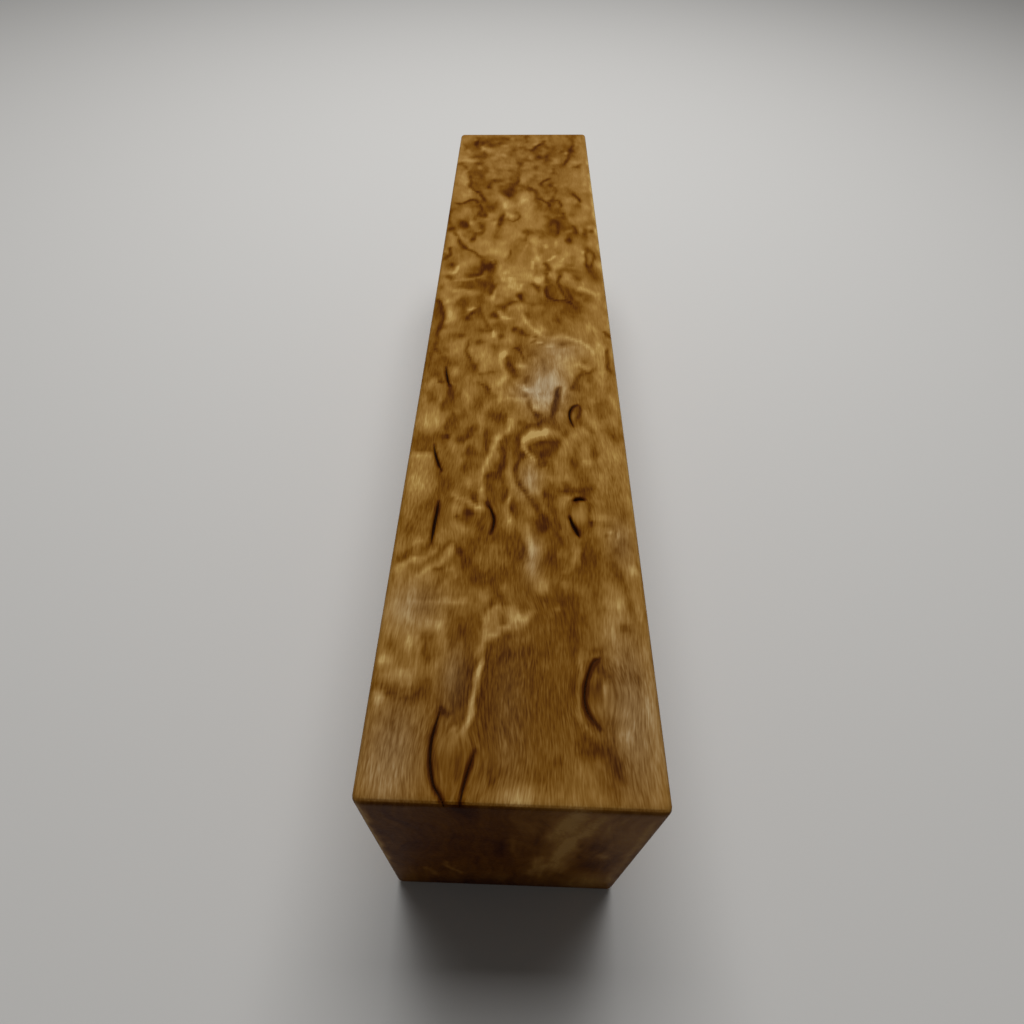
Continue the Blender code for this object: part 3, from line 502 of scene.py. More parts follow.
FAR_CLOUDS = lay_clouds(
    (7.3, 78.4, 1, 1, -0.42), (5.4, 77.6, 0.9, 1.4, -0.18), (6.4, 74.2, 2.3, 1.2, -0.18),
    (1.8, 79, 0.6, 0.6, -0.22), (2.9, 91.8, 0.65, 1.1, -0.44), (1, 90.1, 0.5, 0.6, -0.38),
    (11, 94.8, 0.55, 0.9, 0.26), (18.1, 93.6, 0.8, 0.8, -0.36), (18.8, 96, 1, 1.4, -0.14),
    (20.3, 87.7, 0.55, 0.8, -0.44), (23.2, 89.9, 0.38, 0.6, -0.38), (24.5, 90.8, 0.4, 0.5, -0.3),
    (14, 89.8, 0.8, 1.4, -0.12), (21.5, 76.2, 1.2, 0.9, -0.14), (24.2, 76, 0.6, 1, -0.12),
    (10.5, 77, 1.4, 2.2, 0.1), (9.4, 83.6, 0.8, 1.8, 0.08), (8, 92.2, 0.9, 1.5, 0.08),
    (23.4, 95.2, 1.3, 1.8, 0.06), (12.7, 88, 14, 26, 0.05), (13.6, 76.2, 0.7, 1.3, 0.2),
    (15.4, 75.4, 0.6, 0.9, 0.26), (4.8, 80.2, 0.8, 1.1, 0.22), (2.9, 75.6, 0.7, 0.8, 0.2),
    (8.6, 83.2, 1.9, 1.4, 0.24), (11.4, 88.2, 1.2, 1.9, 0.3), (14.8, 87.4, 0.8, 1.6, 0.3),
    (15.4, 82, 0.7, 1.6, 0.3), (19.3, 83.4, 1, 2.6, 0.28), (21.9, 84, 0.8, 2.6, 0.32),
    (13.4, 94.6, 1.2, 4.4, 0.26), (7.8, 91, 0.6, 1.6, 0.2), (1.5, 86, 0.8, 2.2, 0.2),
    (17.3, 91.6, 0.9, 2.8, -0.36), (19.6, 92.4, 1.3, 2.6, -0.22), (2.3, 92.6, 1.3, 1.8, -0.2),
    (5.9, 90, 0.7, 1.8, -0.18), (18, 78.1, 1.6, 0.8, -0.2), (23.2, 88.8, 0.7, 0.7, -0.2),
    (5.1, 85.4, 0.9, 1, 0.17), (3.8, 79, 0.8, 1.1, 0.22), (2, 77, 0.5, 0.6, 0.16),
    (5.6, 76.3, 1.1, 0.4, -0.28), (4, 72.7, 1.4, 0.6, -0.17), (10, 73, 0.9, 1.2, 0.28),
    (12.3, 72.9, 0.7, 0.9, 0.28), (14.2, 76.8, 0.6, 0.9, 0.23), (15.1, 75.2, 0.9, 1.1, 0.27),
    (17.1, 76.8, 0.6, 0.9, 0.27), (10.5, 77.2, 0.6, 0.7, 0.19), (12, 78.6, 1.1, 1.2, 0.2),
    (16.7, 78.2, 0.6, 0.35, -0.22), (20, 78.3, 2, 0.9, -0.27), (23.3, 78.6, 0.6, 1.4, -0.33),
    (18.5, 80.6, 0.6, 1.1, 0.22), (22.3, 81.6, 0.45, 1.3, 0.25), (20.3, 83, 0.6, 0.8, 0.19),
    (19.6, 76, 0.6, 0.8, 0.19), (22.1, 74.6, 0.7, 0.9, 0.23), (20.8, 73, 0.8, 0.7, -0.12),
    (15, 73.1, 0.6, 0.6, -0.2), (9.8, 86.2, 0.8, 0.8, 0.23), (19.2, 86.2, 0.7, 0.8, 0.2),
    (23.7, 86.4, 0.5, 0.8, 0.23), (14.5, 84, 0.5, 0.9, 0.12), (6.8, 86, 0.6, 0.9, 0.12),
    (3.1, 90.9, 1, 0.9, -0.3), (4.3, 89.4, 0.6, 0.7, -0.17), (4, 92.5, 0.5, 0.9, 0.2),
    (0.6, 90.4, 0.4, 1.4, -0.17), (8.7, 87.8, 0.7, 0.7, -0.17), (13.4, 90.4, 1.1, 1.1, -0.16),
    (15.8, 90.1, 0.7, 1.1, -0.28), (20.8, 89.4, 1.2, 0.9, -0.31), (20.5, 87, 0.5, 0.9, -0.22),
    (24, 92, 0.5, 0.8, 0.22), (16, 93, 1.1, 1.6, 0.14), (18.2, 92.6, 0.5, 1.1, 0.16),
    (19.5, 95, 0.9, 0.6, -0.3), (21.2, 96.8, 0.6, 1.4, -0.25), (23.6, 95.5, 0.7, 1.2, 0.12),
    (5.3, 95.3, 0.5, 1.1, -0.27), (3, 96.6, 1.1, 1.3, 0.2), (8.2, 93.6, 0.5, 0.7, -0.17),
    (6.6, 93.8, 1, 0.5, 0.23), (8, 98.8, 0.4, 1.3, -0.17), (9.9, 95.4, 0.35, 1.1, 0.25),
    (12, 98.6, 0.7, 1.5, -0.17), (15.5, 99, 0.6, 1.6, -0.22), (14, 98, 0.5, 1.1, 0.14),
    (17.4, 97.4, 0.6, 0.6, 0.14), (4, 91.8, 0.8, 1.1, 0.24), (2.4, 93.9, 0.9, 0.8, 0.12),
    (3.6, 86.3, 0.4, 0.9, 0.18), (0.9, 87.9, 0.5, 1.5, 0.13), (4.2, 84.3, 0.7, 1.2, 0.12),
    (5.4, 83, 0.6, 1, 0.13), (9.3, 85.4, 0.6, 1.2, 0.13), (10.4, 82.9, 0.45, 1.1, 0.18),
    (7.2, 95.1, 0.9, 0.7, 0.18), (4.5, 95.6, 0.5, 1.2, 0.12), (10, 95.4, 0.5, 0.6, 0.12),
    (8.3, 92.3, 0.4, 1.2, 0.1), (16.3, 91, 0.9, 0.9, 0.18), (14.2, 91.6, 1, 0.6, 0.08),
    (20.3, 90.4, 0.7, 0.7, 0.14), (19.2, 95.6, 0.6, 0.7, 0.18), (21, 94.8, 0.5, 1.6, 0.16),
    (20.8, 98.2, 0.5, 1, 0.1), (11.4, 99.2, 1.1, 0.9, 0.11), (17.8, 78.3, 0.5, 1.4, 0.28),
    (18.6, 79.6, 1, 0.6, 0.13), (20.2, 78.8, 1, 0.6, 0.16), (16.2, 75.9, 0.4, 1, 0.16),
    (18, 76.2, 0.4, 0.7, 0.16), (12.2, 76.8, 1.1, 0.5, 0.12), (9.7, 75, 0.5, 0.7, 0.16),
    (13, 75.2, 1, 0.6, 0.1), (21.3, 73.2, 0.7, 1.1, 0.26), (20.4, 75, 0.5, 1.3, 0.1),
    (1.2, 74.5, 0.6, 0.7, 0.18), (3.4, 73.4, 0.5, 0.8, 0.13), (1.4, 76.5, 0.9, 0.6, 0.1),
    (7, 74.9, 0.5, 0.7, 0.12), (8.1, 80.1, 0.5, 0.7, 0.14), (15.6, 79.2, 0.4, 0.8, 0.16),
    (22.6, 83.8, 0.35, 0.6, 0.16), (21.3, 85.6, 0.6, 0.9, 0.1), (14.7, 84.2, 0.5, 1.3, 0.09),
    (16, 87, 0.8, 0.6, 0.1), (3.9, 81.4, 0.5, 0.8, 0.12), (2.3, 81.6, 0.4, 0.7, 0.12),
    (18.7, 89.4, 0.4, 1, 0.1), (22.2, 78.6, 0.8, 0.6, 0.08), (2.3, 86.2, 0.4, 0.8, -0.22),
    (9.6, 93.8, 0.5, 0.8, -0.22), (9.1, 91.4, 0.5, 1, -0.12), (16.9, 95.2, 0.6, 1.4, -0.16),
    (12.7, 87.3, 1, 1.1, -0.16), (11, 88.4, 0.9, 0.9, -0.13), (5.2, 75.8, 1.5, 0.5, -0.2),
    (7.9, 76.6, 0.5, 1.2, -0.14), (8.8, 73.1, 0.7, 1, -0.2), (14.5, 74.2, 0.7, 0.7, -0.16),
    (22.8, 88.3, 0.6, 1.2, -0.18), (23.4, 85, 0.5, 1.2, -0.2), (23.3, 90.9, 0.5, 0.8, -0.14),
    (9.2, 79.2, 0.6, 0.7, -0.16), (18.8, 76.8, 0.35, 0.9, -0.16), (6.4, 81.5, 0.5, 0.6, -0.12),
    (2.2, 78.6, 0.6, 0.7, -0.14), (17.5, 98.6, 0.6, 1.2, -0.13), (15.4, 98.6, 0.5, 0.9, -0.11),
    (4.2, 98, 1, 0.8, -0.13), (12, 93.2, 1.2, 1, -0.06), (17.1, 75.4, 0.4, 1.2, -0.13),
    (23.8, 93.2, 0.7, 1, -0.1), (13.4, 89.6, 0.8, 0.5, -0.1), (12.6, 80.6, 0.8, 0.7, -0.08),
    (15.6, 82.4, 0.5, 1.6, -0.07), (8.2, 88.4, 0.9, 0.8, -0.06), (5.9, 88.6, 0.4, 0.8, -0.14),
)

END_VEINS = (
    Vein(
        ((2.7, 111), (3.1, 108.5), (3.3, 107), (3.4, 105.5), (3.9, 104.3), (4.7, 103.6), (5.2, 102.6)),
        0.3,
        -0.38,
    ),
    Vein(((5.1, 102.9), (5.6, 101.3), (6.2, 99.7)), 0.3, -0.38),
    Vein(((4.9, 99.2), (5.5, 98), (6.1, 96.4)), 0.36, -0.44),
    Vein(
        ((0.6, 99.8), (1.3, 98.9), (2.3, 98.9), (3, 99.8), (4, 100.5), (4.7, 99.9), (5.2, 98.6)),
        0.36,
        -0.38,
    ),
    Vein(((11.3, 106.6), (11.7, 108), (11.9, 110.6)), 0.34, -0.22),
    Vein(((13.8, 106.4), (14.5, 104.6)), 0.38, -0.22),
    Vein(((18.1, 110.3), (17, 109.2), (16.4, 108.3), (16, 107.4), (16.3, 106.2)), 0.3, -0.34),
    Vein(((18.1, 107.3), (18.6, 105.7)), 0.3, -0.24),
    Vein(((21.3, 104.5), (22, 103.2), (22.7, 102.2), (23.1, 101)), 0.28, -0.4),
    Vein(((15, 101.7), (16.2, 101.3), (16.8, 100.5), (17.3, 99.6), (17.7, 98.5)), 0.36, -0.34),
    Vein(((18.1, 100.8), (18.8, 101.4), (19.3, 100.6), (19.5, 99.5), (19.2, 98.3)), 0.25, -0.28),
    Vein(((22.3, 129.4), (22.6, 127), (22.5, 125), (22.1, 123.3), (21.8, 121.8)), 0.36, -0.24),
    Vein(((21.9, 122.3), (21.5, 120), (21.2, 118), (20.7, 116.3), (20.2, 115)), 0.36, -0.3),
    Vein(((16.3, 125.9), (15.3, 123.8), (14.7, 122.5), (14, 121)), 0.4, -0.34),
    Vein(((3.9, 128), (3.7, 126), (3.3, 124), (3.8, 122), (3.8, 120.6)), 0.4, -0.24),
    Vein(((1.5, 114.5), (2.4, 112)), 0.4, -0.18),
    Vein(((13.4, 129.2), (13.2, 127), (13, 125.1)), 0.32, -0.18),
    Vein(((18.6, 114.9), (18.3, 111.6)), 0.45, -0.14),
    Vein(((24.2, 117.3), (22.8, 115)), 0.38, -0.14),
    Vein(((5.1, 121.2), (4.6, 123.4)), 0.3, 0.2),
    Vein(((11.2, 105.8), (11.7, 108.4), (11.9, 111), (11.9, 113.6)), 0.6, -0.2),
    Vein(((1.9, 108.2), (2.4, 105.6), (3.3, 102.4)), 0.5, 0.3),
    Vein(((4.2, 104.4), (5, 103.4), (5.6, 102.2), (6, 100.4)), 0.42, -0.28),
    Vein(((7.3, 107.8), (6.6, 106.4), (6.4, 104.6)), 0.42, -0.26),
    Vein(((22.2, 103.4), (22.8, 102), (23.1, 100.4)), 0.32, -0.26),
    Vein(((16.9, 127.2), (16.4, 125.6), (15.6, 124)), 0.5, -0.26),
    Vein(((22.2, 125.4), (21.9, 123), (21.6, 121), (21.2, 119.4)), 0.55, -0.26),
    Vein(((3.6, 127.8), (3.3, 126), (3.4, 124.4)), 0.5, -0.2),
    Vein(((14, 106.6), (14.8, 105), (15.2, 103), (15.1, 100.6)), 0.5, -0.24),
    Vein(((19.4, 108.4), (18.8, 106.2), (18.5, 104.2), (18, 102.2), (17.7, 100.2)), 0.5, -0.3),
)

# The first three clouds are painted highlights along the rounded long edges of the top face
END_CLOUDS_AND_EDGE_HIGHLIGHTS = lay_clouds(
    (25.35, 104, 0.45, 26, 0.45), (25.35, 52, 0.35, 30, 0.25), (0.1, 118, 0.4, 11, 0.12),
    (4.4, 107, 1.2, 3.2, -0.26), (10.1, 103.5, 0.9, 1.2, -0.42), (10.7, 105.2, 0.6, 0.9, -0.3),
    (9.2, 104.4, 0.7, 0.8, -0.16), (7.8, 108.4, 1, 0.8, -0.26), (6.5, 105.4, 0.7, 1.2, -0.34),
    (7.1, 98, 1.1, 1.9, -0.4), (3, 97.4, 1.6, 1.2, -0.12), (17.4, 97.4, 1.4, 1.1, -0.22),
    (22, 122.6, 0.4, 1.1, -0.24), (15.7, 118.9, 0.8, 0.9, -0.3), (17.2, 119.4, 0.45, 1, -0.26),
    (3.3, 123.8, 0.6, 1.4, -0.26), (6.5, 123.9, 0.9, 0.9, -0.22), (4, 118.3, 1.2, 0.8, -0.24),
    (4.2, 115.2, 0.7, 0.6, -0.16), (5.8, 112.8, 0.5, 0.8, -0.12), (8.6, 127.4, 1.2, 0.8, -0.12),
    (12.5, 123.3, 0.8, 0.6, -0.12), (12.8, 100.8, 1.3, 3, 0.32), (9.7, 98.8, 0.8, 2.2, 0.2),
    (1.6, 108.4, 0.9, 3, 0.14), (2.2, 103, 1.1, 1.6, 0.12), (1.8, 117.2, 1.4, 1.4, 0.34),
    (7.2, 121, 1.6, 1.2, 0.08), (1.2, 126, 0.8, 1.4, 0.12), (22.6, 109, 2, 4, 0.08),
    (16.8, 127.2, 2, 1.4, 0.08), (10.6, 106.8, 0.9, 1.6, -0.3), (5.8, 121.4, 0.9, 1.6, 0.3),
    (10.3, 115, 0.9, 1.4, 0.2), (12.9, 109, 0.6, 1.8, 0.2), (23.8, 99, 0.9, 2.2, 0.3),
    (24.2, 123, 0.7, 6, 0.16), (21.6, 104, 0.8, 1.4, -0.2), (14.4, 110, 0.7, 1.4, -0.22),
    (14.6, 121.8, 1.2, 2.2, -0.16), (2.4, 122.6, 1.2, 1.8, -0.16), (10, 127, 3, 1, -0.14),
    (19.6, 115.6, 0.7, 1.2, -0.18), (12.6, 118.6, 1.4, 0.9, -0.14), (1.1, 108.5, 1, 5, 0.11),
    (3, 102.1, 0.9, 0.8, 0.23), (4.3, 110.6, 1.1, 2.2, -0.2), (2.6, 111.4, 0.45, 0.9, -0.23),
    (4.6, 114.8, 0.9, 1.6, -0.16), (7.2, 108.2, 1, 1.1, -0.28), (8.8, 106.2, 0.7, 0.9, -0.23),
    (9.9, 108, 0.4, 0.8, 0.12), (11.6, 104.4, 0.5, 0.9, -0.2), (9, 101.6, 0.6, 1.6, 0.23, 12),
    (10, 99, 0.7, 1.8, 0.23), (13.2, 103.4, 0.8, 1.2, 0.16), (17.7, 101, 0.5, 0.8, -0.28),
    (18.6, 105, 0.7, 1.4, -0.2), (16.8, 108.6, 1.8, 1.6, -0.16), (14.5, 109.2, 0.7, 0.9, -0.16),
    (20.6, 106.2, 0.9, 1.6, -0.11), (11.4, 114.6, 0.5, 1.2, 0.2), (12.9, 114, 1, 0.9, 0.19),
    (15.2, 114.6, 0.7, 1, -0.23), (15.3, 118, 0.7, 0.7, -0.17), (19.1, 117.8, 0.6, 1, 0.19),
    (22.7, 117.2, 1.4, 0.9, 0.2), (24.2, 112, 0.5, 5, 0.19), (22.8, 115, 0.8, 0.5, -0.2),
    (21.5, 123.4, 0.7, 1.5, -0.16), (18, 120.4, 0.7, 1.1, -0.2), (8, 126.2, 0.9, 1.4, -0.22),
    (9.2, 124, 0.9, 0.6, 0.16), (8.2, 119.5, 1.6, 0.8, 0.17), (7, 118.2, 0.6, 0.7, 0.12),
    (2, 121, 0.5, 1.4, 0.22), (4.2, 120, 1.2, 1.1, -0.23), (2.2, 116.2, 1.4, 0.5, 0.19),
    (0.6, 114.8, 0.6, 0.8, -0.2), (6.8, 112, 0.6, 0.8, 0.14), (11.2, 121.6, 1.4, 1.5, -0.11),
    (23.8, 128.4, 0.6, 1, 0.2), (12.7, 117, 14, 14, -0.04), (3, 117.9, 0.8, 0.5, -0.12),
    (17.2, 112.4, 1.6, 0.9, -0.08), (13, 117.6, 0.8, 0.5, -0.12), (2.2, 112.2, 0.5, 1.5, 0.16),
    (4.6, 121.5, 0.5, 0.8, 0.16), (2.8, 120, 1, 0.7, 0.13), (6.8, 117.6, 0.9, 1, 0.11),
    (4.5, 113.8, 0.5, 0.9, 0.14), (4.2, 109.4, 0.5, 0.7, 0.12), (12.2, 121.4, 0.6, 0.9, 0.12),
    (14.4, 118.6, 0.7, 1.6, 0.13), (12.2, 109.7, 0.45, 0.8, 0.2), (15.2, 109.4, 1.4, 0.7, 0.12),
    (15.8, 112.1, 1.5, 0.7, 0.13), (18.9, 107.2, 0.8, 0.9, 0.24), (18.3, 104.2, 0.35, 1.2, 0.16),
    (17.3, 102, 0.6, 0.5, 0.14), (21.2, 121.5, 0.5, 1, 0.16), (8.2, 127.4, 1, 0.9, 0.13),
    (15, 127.4, 0.6, 1.4, 0.13), (16.4, 125.4, 0.9, 0.7, 0.12), (3, 126.4, 0.35, 0.8, 0.16),
    (10.2, 117.6, 0.6, 1.3, 0.07), (12, 119.8, 0.6, 0.8, 0.08), (22.6, 112.8, 1, 0.8, 0.06),
    (10.4, 107.9, 0.7, 0.5, 0.1), (16.4, 108.2, 0.7, 0.6, 0.12), (15, 115.6, 0.8, 0.6, 0.07),
    (4.7, 125.6, 0.7, 1.7, -0.28), (6, 126.4, 0.6, 1.1, -0.2), (10.6, 109.9, 0.5, 1, -0.14),
    (11.9, 114.8, 0.5, 1.4, -0.24), (12.3, 106.2, 1.2, 1, -0.16), (13.8, 105.4, 0.5, 0.9, -0.12),
    (10, 102.4, 1, 0.8, -0.16), (6.3, 103.4, 1, 1, -0.14), (1.8, 106, 1, 1, -0.08),
    (17.6, 118.2, 0.6, 1.2, -0.13), (18.5, 123.5, 0.45, 1.3, -0.14), (22.6, 122.4, 0.45, 1, -0.18),
    (22.6, 129, 0.8, 1.6, -0.2), (21.4, 117.7, 0.5, 0.9, -0.14), (13.4, 100.3, 0.6, 0.9, -0.08),
    (12.9, 128.7, 0.9, 0.6, -0.12), (15, 100.5, 0.5, 0.8, -0.13), (22.4, 99.8, 0.6, 0.7, -0.12),
    (18.2, 128.6, 0.6, 1.2, -0.12), (18.8, 112.2, 0.7, 1.1, -0.07), (8.2, 113, 1.2, 0.9, -0.07),
    (19.2, 100.2, 0.4, 1.3, -0.13), (17, 99, 0.8, 0.8, -0.14), (3, 115.6, 0.9, 1.2, -0.07),
    (24.2, 103.4, 0.6, 1, -0.07),
)

DABS = (
    *lay_dabs((0.6, 0.9), 0.13, [
        (8.2, 44.3), (13.6, 47.6), (12.9, 44.2), (18.7, 40.8), (20.2, 42.3), (10.3, 41), (14.3, 41.7),
        (16, 41.8), (23, 40.5), (24.6, 34.5), (18.5, 35.4), (17.3, 31.4), (24, 45.2), (9, 47), (2.5, 45),
        (0.8, 49.7), (2.2, 32.6), (7, 34), (11.7, 28.3), (12.8, 27.9), (14.8, 29.6), (16, 25.8), (19, 25),
        (20.5, 37.5), (22, 33.3), (21.6, 54.3), (17.2, 57.8), (5.2, 71), (12.9, 64.7), (15.3, 54.8),
        (1, 50), (24.2, 55), (14.5, 60.3), (17, 60), (10.8, 57), (4.8, 59.5), (5, 57.7), (9.5, 61),
        (17.3, 67.5), (15.4, 62.3), (2.2, 65), (3.2, 61.5), (7.6, 63.6), (2.4, 72), (11.8, 70),
        (22.4, 72), (24.2, 72), (22.6, 58.5), (6.5, 52.8), (15.2, 68), (7.2, 51.3), (18.7, 58.5),
        (10.1, 81.7), (12.4, 80.3), (22.8, 72.8), (1.8, 76.3), (19.6, 77.3), (21.2, 97), (8.3, 92.5),
        (12, 88), (15, 88.6), (23.8, 89.3), (20.6, 89.8), (15, 76.8), (12.3, 75.5), (5.4, 86.5),
        (22.7, 83.4), (24.4, 74), (15.2, 78.5), (1.2, 92.6), (22.5, 94.5), (10.3, 95), (3.3, 123.3),
        (10.6, 127), (7.5, 125.4), (15.4, 125), (3, 115.8), (9.2, 121.2), (8.7, 116.5), (6.2, 110.5),
        (7.5, 109.3), (17.3, 108.4), (8.7, 106.2), (6.2, 103.5), (8, 102.5), (12.2, 104.7), (5, 107.5),
        (4.2, 104), (0.8, 120.6), (19.2, 116.4), (21.6, 115.5), (22.8, 111), (24, 108), (23.8, 105.5),
        (12.5, 119), (18.2, 120), (21.5, 121), (10, 110.3), (9.2, 114.8), (18.2, 113), (3, 100.4),
        (13.3, 101),
    ]),
    *lay_dabs((0.6, 0.8), -0.13, [
        (11.1, 44.5), (2.1, 47.3), (4.8, 48.7), (20, 46.5), (20.3, 44), (15, 45), (18.3, 42), (13, 40.2),
        (14, 38.2), (15.3, 37.3), (14, 36), (7.8, 38.3), (12.6, 38.3), (11.1, 37), (3, 41.2), (0.9, 41),
        (11.4, 34.6), (16, 32.5), (14.5, 31.8), (20, 32.6), (18.6, 33), (16.8, 35.4), (10.8, 32),
        (12.9, 30.3), (9.6, 31), (7.6, 28.5), (24, 29.5), (20.5, 29), (22.6, 27.8), (14, 25.3),
        (3.4, 24.6), (8.6, 25.6), (3.4, 30), (1.3, 27.2), (5, 33.5), (7.2, 69), (13, 73.2), (12.2, 71),
        (17.1, 61.3), (16.1, 59.3), (9.3, 57.2), (14.6, 57), (2.8, 57.8), (3.4, 60.5), (6.2, 53.8),
        (11.2, 53.5), (14, 52), (21.8, 56), (22.8, 55), (17.2, 71.6), (20.8, 73), (21.3, 67.3),
        (23.3, 70.5), (2.2, 62.5), (6, 66.8), (4.2, 65.5), (2.5, 69.7), (3.2, 67.3), (4.2, 51.5),
        (2.2, 52.3), (8.7, 50.5), (16.3, 53.4), (20.3, 50.5), (18.2, 65), (20.8, 65.2), (9, 73.2),
        (10, 72.3), (13.2, 62.4), (0.5, 68), (8, 75.6), (5, 75.4), (1.4, 75.2), (1.6, 88.4), (2.9, 88),
        (18.3, 88.7), (5.4, 88.5), (10.6, 83), (11.8, 84.8), (14.2, 85.8), (20.8, 82.5), (18.6, 83.5),
        (18.3, 81), (22, 83.5), (19.3, 86.3), (13.3, 90), (11.5, 94), (3.4, 84.2), (12.6, 95.2),
        (8.3, 89.5), (20, 91), (23.5, 91.5), (16.7, 88.8), (19.3, 98), (6.4, 94.3), (3.3, 93.8),
        (5.2, 117.6), (5, 124.5), (8.6, 124.5), (13.6, 122), (4.4, 110), (9, 108.2), (16.3, 102),
        (14, 104.5), (22.2, 99), (20.7, 121.8), (20.8, 124.5), (1.7, 121.6), (17.3, 123.5), (19, 122.5),
        (13, 112.5), (10.2, 112.5), (16.8, 126.8), (17, 117), (14.3, 117.2), (12.2, 116), (6, 111.6),
        (22.2, 102.8), (18.3, 100.5), (1.2, 115), (21.5, 129.5),
    ]),
    *lay_dabs((0.55, 0.8), 0.1, [
        (17.8, 113), (20.6, 107.6), (22, 107.4), (21.2, 121), (22, 123.4), (3.4, 126), (7.8, 126),
        (10.3, 127), (14.8, 125), (14.2, 123), (12, 124), (9, 123.4), (8.8, 119.6), (11.5, 121),
        (5.6, 117), (4.6, 113.4), (3.5, 116.4), (4.2, 120.4), (6.8, 107), (7.4, 105.4), (6.2, 104.4),
        (8.8, 107), (12, 109), (14.6, 105.8), (14.7, 102), (18.2, 103.8), (17.2, 101.2), (13.5, 115.8),
        (15.5, 118.4), (19.5, 122), (24, 127.4), (18.9, 129), (15.9, 129), (22.2, 101), (8.7, 100.6),
        (5.2, 102), (9.9, 91.2), (10, 89.6), (9.2, 94.6), (8.8, 93), (8.2, 79.8), (6, 82.2), (7.3, 82.8),
        (7.4, 85.4), (17, 96.5), (17, 99), (15.4, 98.5), (19.4, 95.4), (20, 98.4), (12.4, 81),
        (12.8, 82.4), (19.4, 78), (20.8, 79), (21.3, 80.5), (9.3, 74.5), (10.5, 74.8), (10.4, 76.5),
        (14.7, 72.6), (13, 74), (4.5, 73), (1.5, 74), (20.5, 73.5), (22.3, 76), (22.7, 91.4), (24, 91.8),
        (19.8, 89.6), (18.7, 88), (24.1, 85.6), (22.6, 84), (21.4, 82), (1, 88.4), (2.7, 87), (4.5, 83.6),
        (14.2, 90.8), (16.3, 85), (11.7, 98.8), (2.2, 95), (1.2, 69.6), (2, 68.4), (3.8, 70.8),
        (4.8, 71.4), (14.2, 72), (10.4, 65), (18.2, 67.4), (18, 54.6), (15.2, 55.6), (14.6, 56.4),
        (12.2, 54.2), (10.2, 51.4), (5.3, 52.8), (6.8, 56), (4.2, 57.4), (2.4, 66), (24.3, 70.8),
        (24.6, 66), (19.9, 63), (23.5, 63), (22.8, 57.8), (24.2, 59.4), (22, 56.4), (21.2, 54.4),
        (23.5, 51.6), (22.6, 50), (7.8, 62.4), (9.2, 59), (10.3, 57), (13.1, 61.4), (14, 63), (7.7, 60.6),
        (3, 58.6), (9.9, 63), (9, 69.4), (8, 70), (11, 72.4), (16.5, 71.4), (1.2, 49.8), (4.7, 16.3),
        (2, 12.2), (3.6, 10.2), (0.8, 8), (2.6, 8.3), (4.4, 7.6), (5.9, 12), (12.8, 14), (11, 14.8),
        (10.7, 16.4), (21.8, 14.6), (22, 13.4), (21.2, 16.2), (24.5, 17.5), (24.5, 20), (16, 12),
        (16.4, 15.2), (8, 4.4), (7, 4.8), (3.2, 3.2), (1.2, 2.8), (12.2, 5.2), (11.8, 8), (13.2, 0.6),
        (17.6, 0.3), (11.2, 18.7), (9.8, 19.6), (9.6, 22.2), (11.5, 24.3), (7.2, 23.2), (3.6, 24),
        (2.4, 25), (1.1, 21.2), (3, 19.6), (20.6, 8.7), (22.2, 8.5), (22.6, 6.9), (6.8, 47.8),
        (12.5, 47.6), (15.6, 46.4), (20.6, 46), (22, 44.5), (18, 44), (2.5, 42.2), (5, 41), (10.4, 40.6),
        (6.6, 39.3), (15, 40.5), (20.6, 39), (24.8, 38.5), (1.1, 36.2), (2.4, 37), (12.4, 36.2),
        (14.5, 36.2), (15.8, 36), (14.4, 37.3), (8.6, 34), (9.2, 33.2), (8, 30.8), (8.5, 29),
        (21.3, 31.5), (21.8, 29.8), (24.5, 27), (22.6, 26), (2.5, 25), (5.2, 26.8), (16, 30), (1, 33.4),
        (4.2, 45), (18.2, 47.5), (24.6, 32), (18.5, 39), (18.8, 105.5), (19.8, 107), (20.8, 109.3),
        (7.2, 108.5), (6.4, 106), (4.6, 108.4), (10.2, 103.4), (11.8, 107.8), (12.2, 105.5),
        (14.7, 105.3), (5.6, 101.5), (0.6, 111.5), (4.7, 113), (5.7, 115.8), (10.4, 127), (10.3, 124.8),
        (9.8, 122), (12.7, 128.6), (14.9, 121.6), (15.6, 124.8), (3.4, 126), (4.6, 125.8), (3.3, 122.8),
        (18.6, 116.4), (20.5, 118), (21.3, 121.5), (21.8, 124), (23.2, 129.5), (11, 116.6), (13.2, 112.5),
        (9.4, 119), (9.5, 111.5), (22.5, 112), (22.4, 105), (23.8, 103), (18.3, 103.4), (18.2, 102.6),
    ]),
    *lay_dabs((0.6, 1.1), 0.24, [
        (4.6, 39.2), (5.9, 25.2), (10.5, 51.2), (8.1, 53.8), (19, 56.3), (21.3, 57.7), (24, 58.2),
        (15.6, 81.5), (14.1, 110.5), (4.2, 110), (18.7, 106.4), (5.8, 89.6), (0.7, 82.2), (3, 69.6),
        (18, 51), (2.2, 69.4),
    ]),
    *lay_dabs((0.55, 0.8), -0.1, [
        (13.6, 104.8), (10.3, 101.4), (6.6, 102.4), (18.1, 127.2), (16.8, 125), (22.8, 123), (6.5, 122.6),
        (10, 115.4), (11.2, 114), (1.8, 113.4), (2.6, 105.4), (19.8, 103.6), (20.2, 118), (18.7, 115.8),
        (11.3, 126.3), (5.2, 125), (3.2, 121.6), (1, 108.8), (24.4, 100), (6.8, 119), (13, 99.2),
        (17.8, 120), (13.8, 128.4), (2, 117.6), (20.8, 109.2), (6, 75.4), (9.8, 75.4), (14.6, 89.2),
        (12.2, 87.6), (18.5, 89.2), (17.8, 85), (19.1, 84.2), (6.2, 87), (5.2, 86.2), (2.3, 85.6),
        (3.6, 83.6), (6.7, 81.2), (9.4, 96.4), (13.2, 97.2), (15.8, 77.8), (12.2, 78.4), (21, 77),
        (16.8, 73.8), (20.7, 91.4), (16.4, 91.4), (19.5, 79.6), (22.8, 79.8), (1.5, 89.4), (0.6, 97),
